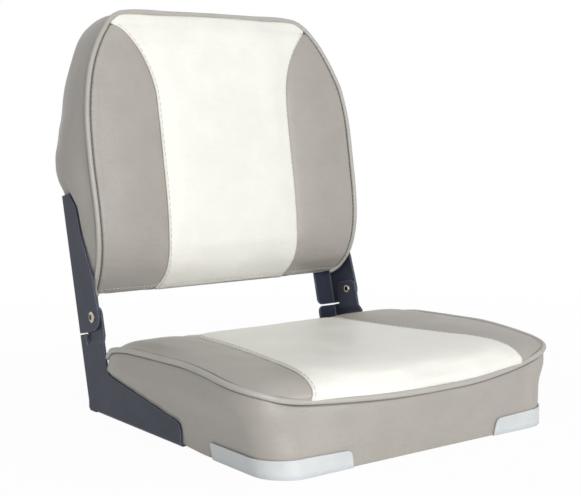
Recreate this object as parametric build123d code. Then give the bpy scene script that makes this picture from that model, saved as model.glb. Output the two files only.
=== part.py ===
"""Folding boat seat: a padded seat and a padded backrest joined by two folding sheet metal brackets.

Millimetres, +Z up. The sitter faces -Y. The origin is the centre of the four mounting inserts, on the
flat underside. Left (-X) and right (+X) are as seen from in front of the seat.
"""
from build123d import *
import math
import os

# Whole object
bracket_span = 395.0          # over the outer faces of the two brackets
rear_y = 188.0                # rear bottom corner of the brackets, behind the mounting centre
rear_lean = 14.1              # degrees by which the rear line of the brackets leans back
overrun = 30.0                # how far a cutting solid runs past what it cuts

# Bracket sheet metal: "up" is a length along the leaning rear line, "fore" is square to it
sheet = 2.5
bend_radius = 3.5             # outside radius of a bend
flange_width = 30.0
flange_corner = 8.0
lower_length = 206.0
nose_height = 25.0            # top edge of the lower bracket at its front end
nose_radius = 11.0
step_height = 50.0            # top edge of the lower bracket where it meets the post
step_radius = 13.0
post_width = 58.0
strip_width = 17.0            # rear strip of the post that stays in the outer plane
joggle_start = 75.5
joggle_rise = 7.5             # length up the post over which the ear steps inwards
ear_top = 118.0
ear_fore = 56.0
ear_corner = 10.0
slot = 1.6                    # gap between the lower and the upper bracket
flange_slot = 1.8

# Pivot
pivot_up = 107.0
pivot_fore = 38.5
rivet_radius = 4.0
rivet_head_radius = 6.5
rivet_head_height = 2.2
rivet_tail_radius = 5.2
rivet_tail_height = 1.6
rivet_bore = 2.2
rivet_bore_depth = 5.0
rivet_crown_share = 0.55      # flat top of the head, of the head's radius
rivet_rim_share = 0.45        # height of the head's rim, of the head's height
rivet_curl_share = 0.9        # end of the rolled tail, of the tail's radius
running_clearance = 0.06
washer_radius = 8.0
washer_thickness = 0.5
washer_gap = 0.05             # left on each side of the moving bracket

# Upper bracket
boss_radius = 16.0            # rounded front end about the pivot
upper_length = 168.0
upper_waist = 51.0            # width where the front edge starts to draw in
upper_waist_up = 62.0
upper_neck = 36.0
upper_neck_up = 116.0
upper_shoulder = 33.5
upper_shoulder_up = 148.0
upper_top = 20.0
upper_blend = 60.0
upper_corner = 10.0

# Vinyl and piping
vinyl = 1.2
piping_radius = 3.0
cord_radius = 1.9
soft_clearance = 0.3
hem_width = 26.0

# Seat cushion
seat_half_width = 215.0       # at the piping
seat_base_half_width = 196.0  # at the underside
seat_front_y = -186.0
seat_front_bow = 13.0         # how far the front corners stand back at the piping
seat_front_swell = 17.0       # how far the middle of the front swells forward at the piping
seat_swell_share = 0.29       # what is left of that swell at the start of the bow
seat_swell_end = 50.0
seat_bow_start = 105.0
seat_bow_end = 156.0
seat_back_y = 146.0
seat_corner = 38.0
seat_top = 98.0
seat_rear_height = 73.0       # piping along the rear
front_roll = 25.0
rear_roll_start = 84.0
seat_edge_height = 95.0       # piping along the sides
valley_height = 95.8          # near the seams between the centre and side panels
bolster_height = 98.5
shoulder_height = 97.6
shoulder_x = 190.0
seat_seam_rear = 103.5
seat_seam_middle = 112.0
seat_seam_middle_y = 14.0
seat_seam_fore = 137.0
seat_seam_fore_y = -131.0
seat_seam_front = 149.0

# Seat pan
pan_thickness = 12.0
pan_skin = 4.0
pan_rim = 34.0
pan_rib = 3.0
pan_cells_x = 8
pan_cells_y = 6
pan_front_bow = 3.0
pad_size = 178.0
pad_corner = 12.0
mount_spacing = 127.0         # five inches, both ways
insert_bore = 3.0             # radius
insert_radius = 5.0
insert_length = 12.0
insert_flange_radius = 7.0
insert_flange = 1.0

# Fasteners
base_screw_radius = 2.5
base_screw_length = 13.0
base_screw_head = 4.8
base_screw_head_height = 2.0
base_screw_recess = 1.25
base_screw_recess_depth = 1.4
base_screw_shares = (0.16, 0.5, 0.84)      # along the lower bracket
flange_hole_share = 0.58                   # across a flange from its bend
back_screw_radius = 3.0
back_screw_length = 13.0
back_screw_head = 5.8
back_screw_head_height = 3.2
back_screw_head_round = 1.9
back_screw_slot = 1.2
back_screw_shares = (0.41, 0.63, 0.85)     # up the upper bracket, behind the backrest
hole_clearance = 0.3
nut_radius = 4.2
nut_length = 9.0
staple_width = 11.0
staple_wire = 1.0
staple_leg = 6.0
staple_inset = 14.0
staple_pitch = 44.0
staple_bow_share = 0.3                     # how far the front row follows the bow of the front edge
staple_side_shares = (0.3, 0.4)            # of the pitch: behind a corner protector, ahead of a bracket

# Corner protectors
guard_height = 19.5
guard_wall = 1.3
guard_gap = 0.1
guard_lip = 16.0
guard_lip_thickness = 2.0
guard_front_x = 96.0          # inner end on the front
guard_side_y = -79.0          # rear end on the side
guard_slant = 8.0             # lean of the end on the front
guard_round = 7.0
guard_small_round = 3.0

# Backrest cushion
back_half_width = 196.0
back_bottom = 135.5
back_height = 336.5           # underside to the top piping
back_depth = 90.0
back_tilt = 11.7              # degrees by which the piping's plane leans back
back_wall_start = 122.0       # where the piping's plane meets the ground
back_wall_depth = 77.0
back_wall_swell = 6.0         # outward swell of the boxing at half its depth
back_wall_draw = 5.0          # how much smaller the outline is at the rear
back_top_swell = 4.0
back_rear_gap = 1.3           # vinyl behind the board clears the bracket flanges
back_bulge = 9.0
back_bulge_up = 370.0
back_bulge_start = 272.0
back_top_up = 500.0
back_seam_waist = 97.0
board_thickness = 12.0
board_margin = 3.0
# Stations through the boxing, from its middle, in half depths
back_wall_shares = (-2.0, -1.0, -0.5, 0.0, 0.5, 1.0, 1.5)
# Right half of the backrest outline: share of the half width, share of the height
back_bottom_share = 0.90
back_corner_shares = ((0.958, 0.013), (0.974, 0.05))
back_side_shares = ((1.0, 0.49), (0.984, 0.682))
back_shoulder_shares = ((0.931, 0.806), (0.84, 0.907))
back_top_shares = ((0.757, 0.973), (0.648, 1.0))
# Front of the backrest from the hem up: share of the depth ahead of the rear line, share of the height
back_roll_shares = ((0.136, 0.0), (-0.122, 0.0535), (-0.257, 0.2))
back_face_shares = ((-0.257, 0.2), (-0.081, 0.548), (0.146, 0.896))
back_brow_shares = ((0.146, 0.896), (0.211, 0.958), (0.344, 1.0))
# Piping of the backrest, in the shares of the outline, from a bottom corner to the top
back_piping_shares = ((0.945, 0.008), back_corner_shares[1], (0.992, 0.27), back_side_shares[0],
                      back_side_shares[1], back_shoulder_shares[0], back_shoulder_shares[1],
                      (0.757, 0.975), (0.63, 0.999))
# Seam of the backrest: multiple of its waist, share of the height
back_seam_shares = ((1.0, 0.6), (1.068, 0.785), (1.236, 0.888), (1.5, 0.963), (1.55, 1.05))

# Bent tubes
bend_share = 0.45             # size of each bend, as a share of what its shorter run leaves
piping_corner_share = 0.8     # how far the seat's piping cuts its corners

# Worked out once
far = 2 * bracket_span        # beyond the object, for cutting solids
lean_sin = math.sin(math.radians(rear_lean))
lean_cos = math.cos(math.radians(rear_lean))
outer_x = bracket_span / 2
inner_x = outer_x - sheet
joggle = sheet + washer_thickness + 2 * washer_gap
ear_x = outer_x - joggle
strip_top = pivot_up - boss_radius - slot
upper_bottom = pivot_up - boss_radius
upper_end = upper_bottom + upper_length
hem_z = sheet
pan_z = hem_z + vinyl
pan_top = pan_z + pan_thickness
pan_half_width = inner_x - soft_clearance - vinyl
front_roll_z = seat_top - front_roll
# Across the backrest: half width, swell of the front at half its height
back_stations = ((0, 6.0), (55, 4.8), (back_seam_waist, 1.0), (150, 3.0), (back_half_width, 0.0),
                 (back_half_width + overrun, 0.0))
# Across the seat: half width, height of the top, its fall to the rear roll, its rise midway
seat_stations = ((0, seat_top, 8, 4), (seat_swell_end, 97.5, 7, 3.4),
                 (seat_bow_start, valley_height, 4.5, 1.5), (seat_bow_end, bolster_height, 3, 1.5),
                 (shoulder_x, shoulder_height, 2.6, 1.5), (seat_half_width, seat_edge_height, 3, 1),
                 (seat_half_width + overrun, seat_edge_height, 3, 1))
seat_front_places = ((0, -seat_front_swell), (seat_swell_end, -seat_front_swell),
                     (seat_bow_start, -seat_front_swell * seat_swell_share), (seat_bow_end, seat_front_bow),
                     (far, seat_front_bow))
lean_frame = Plane(origin=(0, rear_y, 0), x_dir=(1, 0, 0), z_dir=(0, lean_sin, lean_cos))
parts = {}


def at(fore, up):
    """Place on the bracket, as (y, z)."""
    return (rear_y + up * lean_sin - fore * lean_cos, up * lean_cos + fore * lean_sin)


def slab(face_on_yz, low_x, high_x):
    """A face drawn in (y, z), thickened between two values of x."""
    return Pos(low_x, 0, 0) * extrude(Plane.YZ * face_on_yz, high_x - low_x)


def lean_slab(face_on_yz, low_x, high_x):
    """A face drawn in (-fore, up), thickened between two values of x, on the leaning frame."""
    return lean_frame.location * slab(face_on_yz, low_x, high_x)


def block(low, high):
    """A box between two corners."""
    size = [b - a for a, b in zip(low, high)]
    middle = [(a + b) / 2 for a, b in zip(low, high)]
    return Pos(*middle) * Box(*size)


def polygon(points):
    return make_face(Polyline(*points, close=True))


def corner_at(sketch, place):
    """The corner of a sketch nearest to a place."""
    return sketch.vertices().sort_by_distance((place[0], place[1], 0))[0]


def rounded(points, rounds):
    """A polygon with some corners rounded, given as {corner number: radius}."""
    face = polygon(points)
    for number, radius in rounds.items():
        face = fillet(corner_at(face, points[number]), radius)
    return face


def angle_section(web, flange):
    """L section with its outside corner at the origin, its flange along -X and its web along +Y."""
    outside = [(0, 0), (0, web), (-flange, web), (-flange, 0)]
    inside = [(-sheet, sheet), (-sheet, web + overrun), (-flange - overrun, web + overrun)]
    inside.append((-flange - overrun, sheet))
    return rounded(outside, {0: bend_radius}) - rounded(inside, {0: bend_radius - sheet})


def main_piece(shape):
    """The largest solid of a cut shape, without the slivers beside it."""
    return shape.solids().sort_by(SortBy.VOLUME)[-1]


def both_sides(name, right_solid):
    """Store a right hand piece and its mirror image."""
    parts[name + "_right"] = right_solid
    parts[name + "_left"] = mirror(right_solid, about=Plane.YZ)


def axle(radius, low_x, high_x):
    """Cylinder on the pivot axis."""
    y, z = at(pivot_fore, pivot_up)
    return Pos((low_x + high_x) / 2, y, z) * Rot(0, 90, 0) * Cylinder(radius, high_x - low_x)


def base_screw_places():
    """Places of the screws through the right hand bottom flange."""
    x = outer_x - flange_width * flange_hole_share
    return [(x, rear_y - share * lower_length) for share in base_screw_shares]


def back_screw_places():
    """Heights up the rear line of the screws that hold the backrest."""
    return [upper_bottom + share * upper_length for share in back_screw_shares]


# Lower bracket
def lower_outline(grow=0.0):
    """Side view of the lower bracket up to its ear, drawn in (y, z)."""
    front_y = rear_y - lower_length - grow
    step_y = rear_y + (step_height + grow) * lean_sin / lean_cos - (post_width + grow) / lean_cos
    points = [at(-grow, -overrun), (front_y, -overrun), (front_y, nose_height + grow)]
    points += [(step_y, step_height + grow), at(post_width + grow, ear_top + grow), at(-grow, ear_top + grow)]
    rounds = {2: nose_radius + grow, 3: step_radius - grow}
    return rounded(points, rounds)


def lower_bracket():
    outline = lower_outline()
    ground = block((-overrun, -far, -far), (far, far, 0))
    above = polygon([(-post_width - overrun, joggle_start), (-post_width - overrun, ear_top + overrun),
                     (-strip_width, ear_top + overrun), (-strip_width, joggle_start)])
    above += polygon([(-strip_width, strip_top), (-strip_width, ear_top + overrun),
                      (overrun, ear_top + overrun), (overrun, strip_top)])
    web = slab(outline, inner_x, outer_x) - lean_slab(above, inner_x - sheet, outer_x + sheet)
    web -= lean_frame.location * block((outer_x - bend_radius, -bend_radius, -overrun),
                                       (outer_x + sheet, overrun, ear_top))
    bottom = angle_section(nose_height, flange_width)
    bottom = extrude(Plane.XZ * bottom, lower_length)
    bottom = Pos(outer_x, rear_y, 0) * bottom & slab(outline, 0, bracket_span)
    rear = angle_section(strip_width, flange_width)
    rear = extrude(mirror(rear, about=Plane.XZ), strip_top - flange_slot + slot + overrun)
    rear = lean_frame.location * Pos(outer_x, 0, -overrun) * rear
    web -= block((outer_x - bend_radius, -far, -overrun), (outer_x + sheet, far, bend_radius))
    flange_face = rounded([(outer_x + sheet, -overrun), (outer_x + sheet, strip_top),
                           (outer_x - flange_width, strip_top), (outer_x - flange_width, -overrun)],
                          {2: flange_corner})
    rear &= lean_frame.location * extrude(Plane.XZ * flange_face, strip_width + overrun, both=True)
    body = web + rear + bottom - ground
    return body + joggled_ear()


def joggled_ear():
    """The part of the post that steps inwards and carries the pivot."""
    end = joggle_start + joggle_rise
    face = polygon([(outer_x, joggle_start), (ear_x, end), (ear_x, ear_top), (ear_x - sheet, ear_top),
                    (ear_x - sheet, end), (inner_x, joggle_start)])
    ear = Pos(0, -strip_width, 0) * extrude(Plane.XZ * face, post_width - strip_width)
    outline = rounded([(-strip_width, joggle_start), (-strip_width, ear_top), (-ear_fore, ear_top),
                       (-ear_fore, end), (-post_width, joggle_start)], {1: ear_corner, 2: ear_corner})
    ear &= slab(outline, ear_x - overrun, outer_x + overrun)
    return lean_frame.location * ear - axle(rivet_radius, ear_x - overrun, outer_x + overrun)


def add_lower_brackets():
    bracket = lower_bracket()
    for x, y in base_screw_places():
        bracket -= Pos(x, y, 0) * Cylinder(base_screw_radius + hole_clearance, overrun)
        bracket -= Pos(x, y, 0) * base_screw_head_solid()
    both_sides("lower_bracket", bracket)


# Upper bracket
def upper_outline(grow=0.0):
    """Side view of the upper bracket, drawn in (-fore, up)."""
    low = upper_bottom - grow
    boss_front = pivot_fore + boss_radius + grow
    boss_low = (-pivot_fore, low)
    reach = (boss_radius + grow) * math.sqrt(0.5)
    boss_mid = (-pivot_fore - reach, pivot_up - reach)
    boss_end = (-boss_front, pivot_up)
    waist = (-upper_waist - grow, upper_bottom + upper_waist_up)
    neck = (-upper_neck - grow, upper_bottom + upper_neck_up)
    shoulder = (-upper_shoulder - grow, upper_bottom + upper_shoulder_up)
    top = (-upper_top - grow, upper_end + grow)
    corners = [waist, neck, shoulder, top]
    lines = Polyline(boss_end, *corners, (grow, upper_end + grow), (grow, low), boss_low)
    face = make_face(ThreePointArc(boss_low, boss_mid, boss_end) + lines)
    for corner, radius in zip(corners, (upper_blend, upper_blend, upper_corner, upper_corner)):
        face = fillet(corner_at(face, corner), radius)
    return face


def add_upper_brackets():
    web = slab(upper_outline(), inner_x, outer_x)
    web -= block((outer_x - bend_radius, -bend_radius, 0), (outer_x + sheet, overrun, upper_end + overrun))
    low = upper_bottom + flange_slot - slot
    rear = extrude(mirror(angle_section(upper_top, flange_width), about=Plane.XZ), upper_end)
    rear = Pos(outer_x, 0, 0) * rear
    face = rounded([(outer_x + sheet, low), (outer_x + sheet, upper_end), (outer_x - flange_width, upper_end),
                    (outer_x - flange_width, low)], {2: flange_corner, 3: flange_corner})
    rear &= extrude(Plane.XZ * face, upper_top + overrun, both=True)
    web -= block((inner_x - sheet, -strip_width / 2, 0), (outer_x + sheet, overrun, low))
    bracket = lean_frame.location * (web + rear)
    bracket -= axle(rivet_radius + running_clearance, inner_x - overrun, outer_x + overrun)
    for up in back_screw_places():
        bracket -= back_screw_hole(up, back_screw_radius + hole_clearance)
    both_sides("upper_bracket", bracket)


# Pivot hardware
def add_pivots():
    head_x = outer_x + washer_gap
    rim_x = head_x + rivet_head_height * rivet_rim_share
    top_x = head_x + rivet_head_height
    tail_x = ear_x - sheet
    end_x = tail_x - rivet_tail_height
    bore_x = end_x + rivet_bore_depth
    profile = Polyline((0, top_x), (rivet_head_radius * rivet_crown_share, top_x), (rivet_head_radius, rim_x),
                       (rivet_head_radius, head_x), (rivet_radius, head_x), (rivet_radius, tail_x),
                       (rivet_tail_radius, tail_x), (rivet_tail_radius * rivet_curl_share, end_x),
                       (rivet_bore, end_x), (rivet_bore, bore_x), (0, bore_x), close=True)
    turned = revolve(make_face(profile), Axis.Y)
    y, z = at(pivot_fore, pivot_up)
    both_sides("pivot_rivet", Pos(0, y, z) * Rot(0, 0, -90) * turned)
    washer = axle(washer_radius, ear_x, ear_x + washer_thickness)
    washer -= axle(rivet_radius + running_clearance, ear_x - overrun, ear_x + overrun)
    both_sides("pivot_washer", washer)


# Screws
def base_screw_head_solid():
    """Countersunk head, flush with the underside."""
    cone = Cone(base_screw_head, base_screw_radius, base_screw_head_height)
    return Pos(0, 0, base_screw_head_height / 2) * cone


def base_screw():
    shank = Pos(0, 0, base_screw_length / 2) * Cylinder(base_screw_radius, base_screw_length)
    recess = Cylinder(base_screw_recess, 2 * base_screw_recess_depth)
    return shank + base_screw_head_solid() - recess


def back_screw_hole(up, radius):
    """Cylinder square to the rear line, through the flange."""
    x = outer_x - flange_width * flange_hole_share
    return lean_frame.location * Pos(x, 0, up) * Rot(90, 0, 0) * Cylinder(radius, 2 * overrun)


def add_screws():
    screws = [Pos(x, y, 0) * base_screw() for x, y in base_screw_places()]
    screws += [mirror(screw, about=Plane.YZ) for screw in screws]
    parts["lower_bracket_screws"] = Compound(children=screws)
    head = Pos(0, 0, back_screw_head_height / 2) * Cylinder(back_screw_head, back_screw_head_height)
    head = fillet(head.edges().filter_by(GeomType.CIRCLE).sort_by(Axis.Z)[-1], back_screw_head_round)
    slot_box = Box(2 * back_screw_head, back_screw_slot, back_screw_head_height)
    head -= Pos(0, 0, back_screw_head_height) * slot_box
    screw = head + Pos(0, 0, -back_screw_length / 2) * Cylinder(back_screw_radius, back_screw_length)
    screw = Rot(-90, 0, 0) * screw
    nut = Cylinder(nut_radius, nut_length) - Cylinder(back_screw_radius, nut_length + overrun)
    nut = Pos(0, -sheet - back_rear_gap - vinyl - nut_length / 2, 0) * Rot(90, 0, 0) * nut
    x = outer_x - flange_width * flange_hole_share
    bolts = [lean_frame.location * Pos(x, 0, up) * screw for up in back_screw_places()]
    nuts = [lean_frame.location * Pos(x, 0, up) * nut for up in back_screw_places()]
    parts["upper_bracket_screws"] = Compound(children=bolts + [mirror(b, about=Plane.YZ) for b in bolts])
    parts["back_board_inserts"] = Compound(children=nuts + [mirror(n, about=Plane.YZ) for n in nuts])


# Seat cushion
def between(places, x, column=1):
    """Value at x on the straight runs between places."""
    for low, high in zip(places, places[1:]):
        if low[0] <= abs(x) <= high[0]:
            return low[column] + (high[column] - low[column]) * (abs(x) - low[0]) / (high[0] - low[0])


def seat_plan(half, front, rear, corner, bow=0.0, swell=0.0):
    """Plan outline with round corners, front corners that may stand back and a front that may swell."""
    bend = corner * (1 - math.sqrt(0.5))
    front_side = front + bow
    half_line = Polyline((0, front - swell), (seat_swell_end, front - swell),
                         (seat_bow_start, front - swell * seat_swell_share), (seat_bow_end, front_side),
                         (half - corner, front_side))
    half_line += ThreePointArc((half - corner, front_side), (half - bend, front_side + bend),
                               (half, front_side + corner))
    half_line += Line((half, front_side + corner), (half, rear - corner))
    half_line += ThreePointArc((half, rear - corner), (half - bend, rear - bend), (half - corner, rear))
    half_line += Line((half - corner, rear), (0, rear))
    return make_face(half_line + mirror(half_line, about=Plane.YZ))


def seat_half_at(z):
    """Half width of the cushion at a height."""
    lean = (seat_half_width - seat_base_half_width) / (seat_edge_height - hem_z)
    return seat_base_half_width + lean * (z - hem_z)


def seat_walls(inset):
    """The leaning side walls, with a pocket for each bracket."""
    faces = []
    front = seat_front_y + inset
    rear = seat_back_y - inset
    for z, share in ((hem_z, 0), (front_roll_z, 1), (seat_top + overrun, 1)):
        plan = seat_plan(seat_half_at(z) - inset, front, rear, seat_corner - inset,
                         share * seat_front_bow, share * seat_front_swell)
        faces.append(Pos(0, 0, z) * plan)
    walls = loft(faces, ruled=True)
    pocket = slab(lower_outline(soft_clearance + inset), inner_x - soft_clearance - inset, outer_x + overrun)
    above = polygon([(0, step_height), (0, far), (far, far), (far, step_height)])
    ear = lower_outline(soft_clearance + inset) & above
    pocket += slab(ear, ear_x - sheet - 2 * soft_clearance - inset, outer_x + overrun)
    return walls - pocket - mirror(pocket, about=Plane.YZ)


def rear_roll_at(reach, drop):
    """Radius of the rear roll, level at its start, and what it drops in half its reach."""
    radius = (reach ** 2 + drop ** 2) / (2 * drop)
    return radius, radius - math.sqrt(radius ** 2 - (reach / 2) ** 2)


def seat_section(station, inset):
    """Side view of the cushion at one station: front roll, top and rear roll, drawn in (y, z)."""
    x, height, fall, crown = station
    top = height - inset
    rear_top = top - fall
    front_y = seat_front_at(x) + inset
    roll = front_roll - inset
    bend = roll * (1 - math.sqrt(0.5))
    reach = seat_back_y - rear_roll_start
    drop = height - fall - seat_rear_height
    half_drop = rear_roll_at(reach, drop)[1]
    front_free = seat_front_y - overrun
    back_free = seat_back_y + overrun
    middle = (rear_roll_start + front_y + roll) / 2
    lines = ThreePointArc((front_y, top - roll), (front_y + bend, top - bend), (front_y + roll, top))
    lines += ThreePointArc((front_y + roll, top), (middle, (top + rear_top) / 2 + crown),
                           (rear_roll_start, rear_top))
    lines += ThreePointArc((rear_roll_start, rear_top), (rear_roll_start + reach / 2, rear_top - half_drop),
                           (seat_back_y, rear_top - drop))
    lines += Polyline((seat_back_y, rear_top - drop), (back_free, rear_top - drop), (back_free, -overrun),
                      (front_free, -overrun), (front_free, top - roll), (front_y, top - roll))
    return make_face(lines)


def seat_front_at(x):
    """Front edge at the piping's level."""
    return seat_front_y + between(seat_front_places, x)


def seat_top_prism(inset):
    """Everything under the crowned top surface."""
    sections = []
    for side, stations in ((-1, reversed(seat_stations[1:])), (1, seat_stations)):
        for station in stations:
            sections.append(Pos(side * station[0], 0, 0) * (Plane.YZ * seat_section(station, inset)))
    return loft(sections, ruled=True)


def seat_centre_prism():
    """Everything between the two long seams of the seat, seen in plan."""
    front = (seat_seam_front, seat_front_y - overrun)
    fore = (seat_seam_fore, seat_seam_fore_y)
    middle = (seat_seam_middle, seat_seam_middle_y)
    rear = (seat_seam_rear, seat_back_y + overrun)
    half_line = Line(front, fore) + ThreePointArc(fore, middle, rear)
    lines = half_line + mirror(half_line, about=Plane.YZ)
    lines += Line(front, (-front[0], front[1])) + Line(rear, (-rear[0], rear[1]))
    return extrude(make_face(lines), seat_top + overrun)


def seat_surface(x, y):
    """Height of the top surface."""
    height = between(seat_stations, x)
    rear_top = height - between(seat_stations, x, 2)
    roll_y = seat_front_at(x) + front_roll
    if y < roll_y:
        reach = min(front_roll, roll_y - y)
        return height - front_roll + math.sqrt(front_roll ** 2 - reach ** 2)
    if y >= rear_roll_start:
        radius = rear_roll_at(seat_back_y - rear_roll_start, rear_top - seat_rear_height)[0]
        return rear_top - radius + math.sqrt(radius ** 2 - (y - rear_roll_start) ** 2)
    return height


def seat_piping_path():
    """Closed path along the edge between the top panels and the boxing."""
    half = seat_half_width
    corner = seat_corner
    bend = piping_corner_share * corner * (1 - math.sqrt(0.5))
    back_front = seat_front_y + seat_front_bow
    rear = seat_back_y
    places = [(x, seat_front_at(x)) for x in (seat_swell_end, seat_bow_start, seat_bow_end)]
    places += [(half - corner, back_front),
              (half - bend, back_front + bend), (half, back_front + corner), (half, rear_roll_start),
              (half, rear - corner), (half - bend, rear - bend), (half - corner, rear)]
    right = []
    for x, y in places:
        z = seat_surface(x, y)
        right.append((min(x, seat_half_at(z)), y, z))
    left = [(-x, y, z) for x, y, z in reversed(right)]
    return bent_path(right + left, True)


def bent_path(points, close):
    """Straight runs joined by tangent arcs, each as large as its two runs allow."""
    places = [Vector(*point) for point in points]
    count = len(places)
    radii = []
    for number in range(0 if close else 1, count if close else count - 1):
        before = places[number] - places[number - 1]
        after = places[(number + 1) % count] - places[number]
        turn = math.radians(before.get_angle(after))
        radii.append(bend_share * min(before.length, after.length) / math.tan(turn / 2))
    return FilletPolyline(*places, radius=radii, close=close)


def tube(path, radius):
    """Round rod along a path."""
    return sweep(Plane(origin=path @ 0, z_dir=path % 0) * Circle(radius), path)


def add_seat_cushion():
    outside = seat_walls(0)
    inside = seat_walls(vinyl)
    top = seat_top_prism(0)
    under_top = seat_top_prism(vinyl)
    piping = tube(seat_piping_path(), piping_radius)
    panels = outside & (top - under_top)
    panels -= piping
    centre = seat_centre_prism()
    parts["seat_cover_centre"] = main_piece(panels & centre)
    right_half = block((0, -far, 0), (far, far, far))
    both_sides("seat_cover_side", main_piece((panels - centre) & right_half))
    boxing = (outside - inside) & under_top
    hem_plan = seat_plan(seat_base_half_width - hem_width, seat_front_y + hem_width,
                         seat_back_y - hem_width, seat_corner - hem_width)
    hem = inside & block((-far, -far, hem_z), (far, far, pan_z))
    hem -= Pos(0, 0, -overrun) * extrude(hem_plan, 2 * overrun)
    boxing = boxing + hem - piping - parts["lower_bracket_right"] - parts["lower_bracket_left"]
    for x, y in base_screw_places():
        for side in (x, -x):
            boxing -= Pos(side, y, 0) * Cylinder(base_screw_radius + hole_clearance, overrun)
    parts["seat_cover_boxing"] = main_piece(boxing)
    parts["seat_piping"] = piping - tube(seat_piping_path(), cord_radius)
    parts["seat_piping_cord"] = tube(seat_piping_path(), cord_radius)
    foam = inside & under_top
    foam -= block((-far, -far, 0), (far, far, pan_top))
    parts["seat_foam"] = main_piece(foam - piping)


def add_seat_pan():
    half = pan_half_width
    plan = seat_plan(half, seat_front_y + vinyl + soft_clearance, seat_back_y - vinyl - soft_clearance,
                     seat_corner - vinyl, pan_front_bow)
    pan = Pos(0, 0, pan_z) * extrude(plan, pan_thickness)
    low_y = seat_front_y + pan_rim + seat_front_bow
    high_y = seat_back_y - pan_rim
    step_x = 2 * (half - pan_rim) / pan_cells_x
    step_y = (high_y - low_y) / pan_cells_y
    pad_reach = pad_size / 2
    for column in range(pan_cells_x):
        for row in range(pan_cells_y):
            x = -half + pan_rim + (column + 0.5) * step_x
            y = low_y + (row + 0.5) * step_y
            if abs(x) < pad_reach + step_x / 2 and abs(y) < pad_reach + step_y / 2:
                continue
            cell = Box(step_x - pan_rib, step_y - pan_rib, pan_thickness - pan_skin)
            pan -= Pos(x, y, pan_z + (pan_thickness - pan_skin) / 2) * cell
    pad = extrude(RectangleRounded(pad_size, pad_size, pad_corner), pan_z)
    pan += pad
    inserts = []
    for x in (-mount_spacing / 2, mount_spacing / 2):
        for y in (-mount_spacing / 2, mount_spacing / 2):
            pan -= Pos(x, y, insert_length / 2) * Cylinder(insert_radius, insert_length)
            pan -= Pos(x, y, insert_flange / 2) * Cylinder(insert_flange_radius, insert_flange)
            insert = Pos(0, 0, insert_length / 2) * Cylinder(insert_radius, insert_length)
            insert += Pos(0, 0, insert_flange / 2) * Cylinder(insert_flange_radius, insert_flange)
            inserts.append(Pos(x, y, 0) * (insert - Cylinder(insert_bore, 2 * (insert_length + overrun))))
    for x, y in base_screw_places():
        for side in (x, -x):
            pan -= Pos(side, y, base_screw_length / 2) * Cylinder(base_screw_radius, base_screw_length)
    parts["seat_pan"] = pan
    parts["seat_mount_inserts"] = Compound(children=inserts)


def staple():
    """One staple, crown down, legs up."""
    half = staple_width / 2
    thin = staple_wire / 2
    crown = block((-half, -thin, -thin), (half, thin, 0))
    leg = block((-half, -thin, 0), (-half + staple_wire, thin, staple_leg))
    return crown + leg + mirror(leg, about=Plane.YZ)


def add_staples():
    """Staples along the hem, clear of the brackets and the corner protectors."""
    inset = vinyl + staple_inset
    reach_x = (seat_base_half_width - inset) * 2
    count = int(2 * (guard_front_x - staple_width) / staple_pitch)
    staples = []
    for number in range(count + 1):
        x = (number - count / 2) * staple_pitch
        staples.append(Pos(x, seat_front_y + inset + seat_front_bow * staple_bow_share, hem_z) * staple())
    count = int((reach_x - 2 * seat_corner - flange_width) / staple_pitch)
    for number in range(count + 1):
        x = (number - count / 2) * staple_pitch
        staples.append(Pos(x, seat_back_y - inset, hem_z) * staple())
    side_x = reach_x / 2
    behind_guard, ahead_of_bracket = [share * staple_pitch for share in staple_side_shares]
    for y in (guard_side_y + behind_guard, rear_y - lower_length - ahead_of_bracket):
        for x in (-side_x, side_x):
            staples.append(Pos(x, y, hem_z) * Rot(0, 0, 90) * staple())
    parts["seat_staples"] = Compound(children=staples)
    for name in ("seat_pan", "seat_cover_boxing"):
        for solid in staples:
            parts[name] -= solid


# Corner protectors
def guard_walls(gap):
    """Solid that stands a gap outside the boxing, from the lip to the top of the protectors."""
    sections = []
    for z in (hem_z - guard_lip_thickness, guard_height):
        share = (z - hem_z) / (front_roll_z - hem_z)
        plan = seat_plan(seat_half_at(z) + gap, seat_front_y - gap, seat_back_y, seat_corner + gap,
                         share * seat_front_bow, share * seat_front_swell)
        sections.append(Pos(0, 0, z) * plan)
    return loft(sections, ruled=True)


def add_corner_protectors():
    low = hem_z - guard_lip_thickness - guard_lip
    side_x = seat_half_width + overrun
    fore_y = seat_front_y - overrun
    shell = guard_walls(guard_gap + guard_wall)
    lip_hole = seat_plan(seat_base_half_width - guard_lip, seat_front_y + guard_lip, seat_back_y,
                         seat_corner - guard_lip)
    shell -= Pos(0, 0, -overrun) * extrude(lip_hole, overrun + hem_z)
    shell -= guard_walls(guard_gap) & block((0, -far, hem_z), (far, far, far))
    front_face = rounded([(guard_front_x, low), (guard_front_x + guard_slant, guard_height),
                          (side_x, guard_height), (side_x, low)], {1: guard_round})
    side_face = rounded([(guard_side_y, low), (guard_side_y, guard_height), (fore_y, guard_height),
                         (fore_y, low)], {1: guard_small_round})
    shell &= extrude(Plane.XZ * front_face, far, both=True)
    shell &= slab(side_face, 0, far)
    both_sides("corner_protector", main_piece(shell - parts["seat_cover_boxing"]))


# Backrest cushion
def back_place(shares, inset=0.0):
    """A place on the outline, from its shares, as (x, z)."""
    half = back_half_width - inset
    return (half * shares[0], back_bottom + inset + (back_height - 2 * inset) * shares[1])


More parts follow.
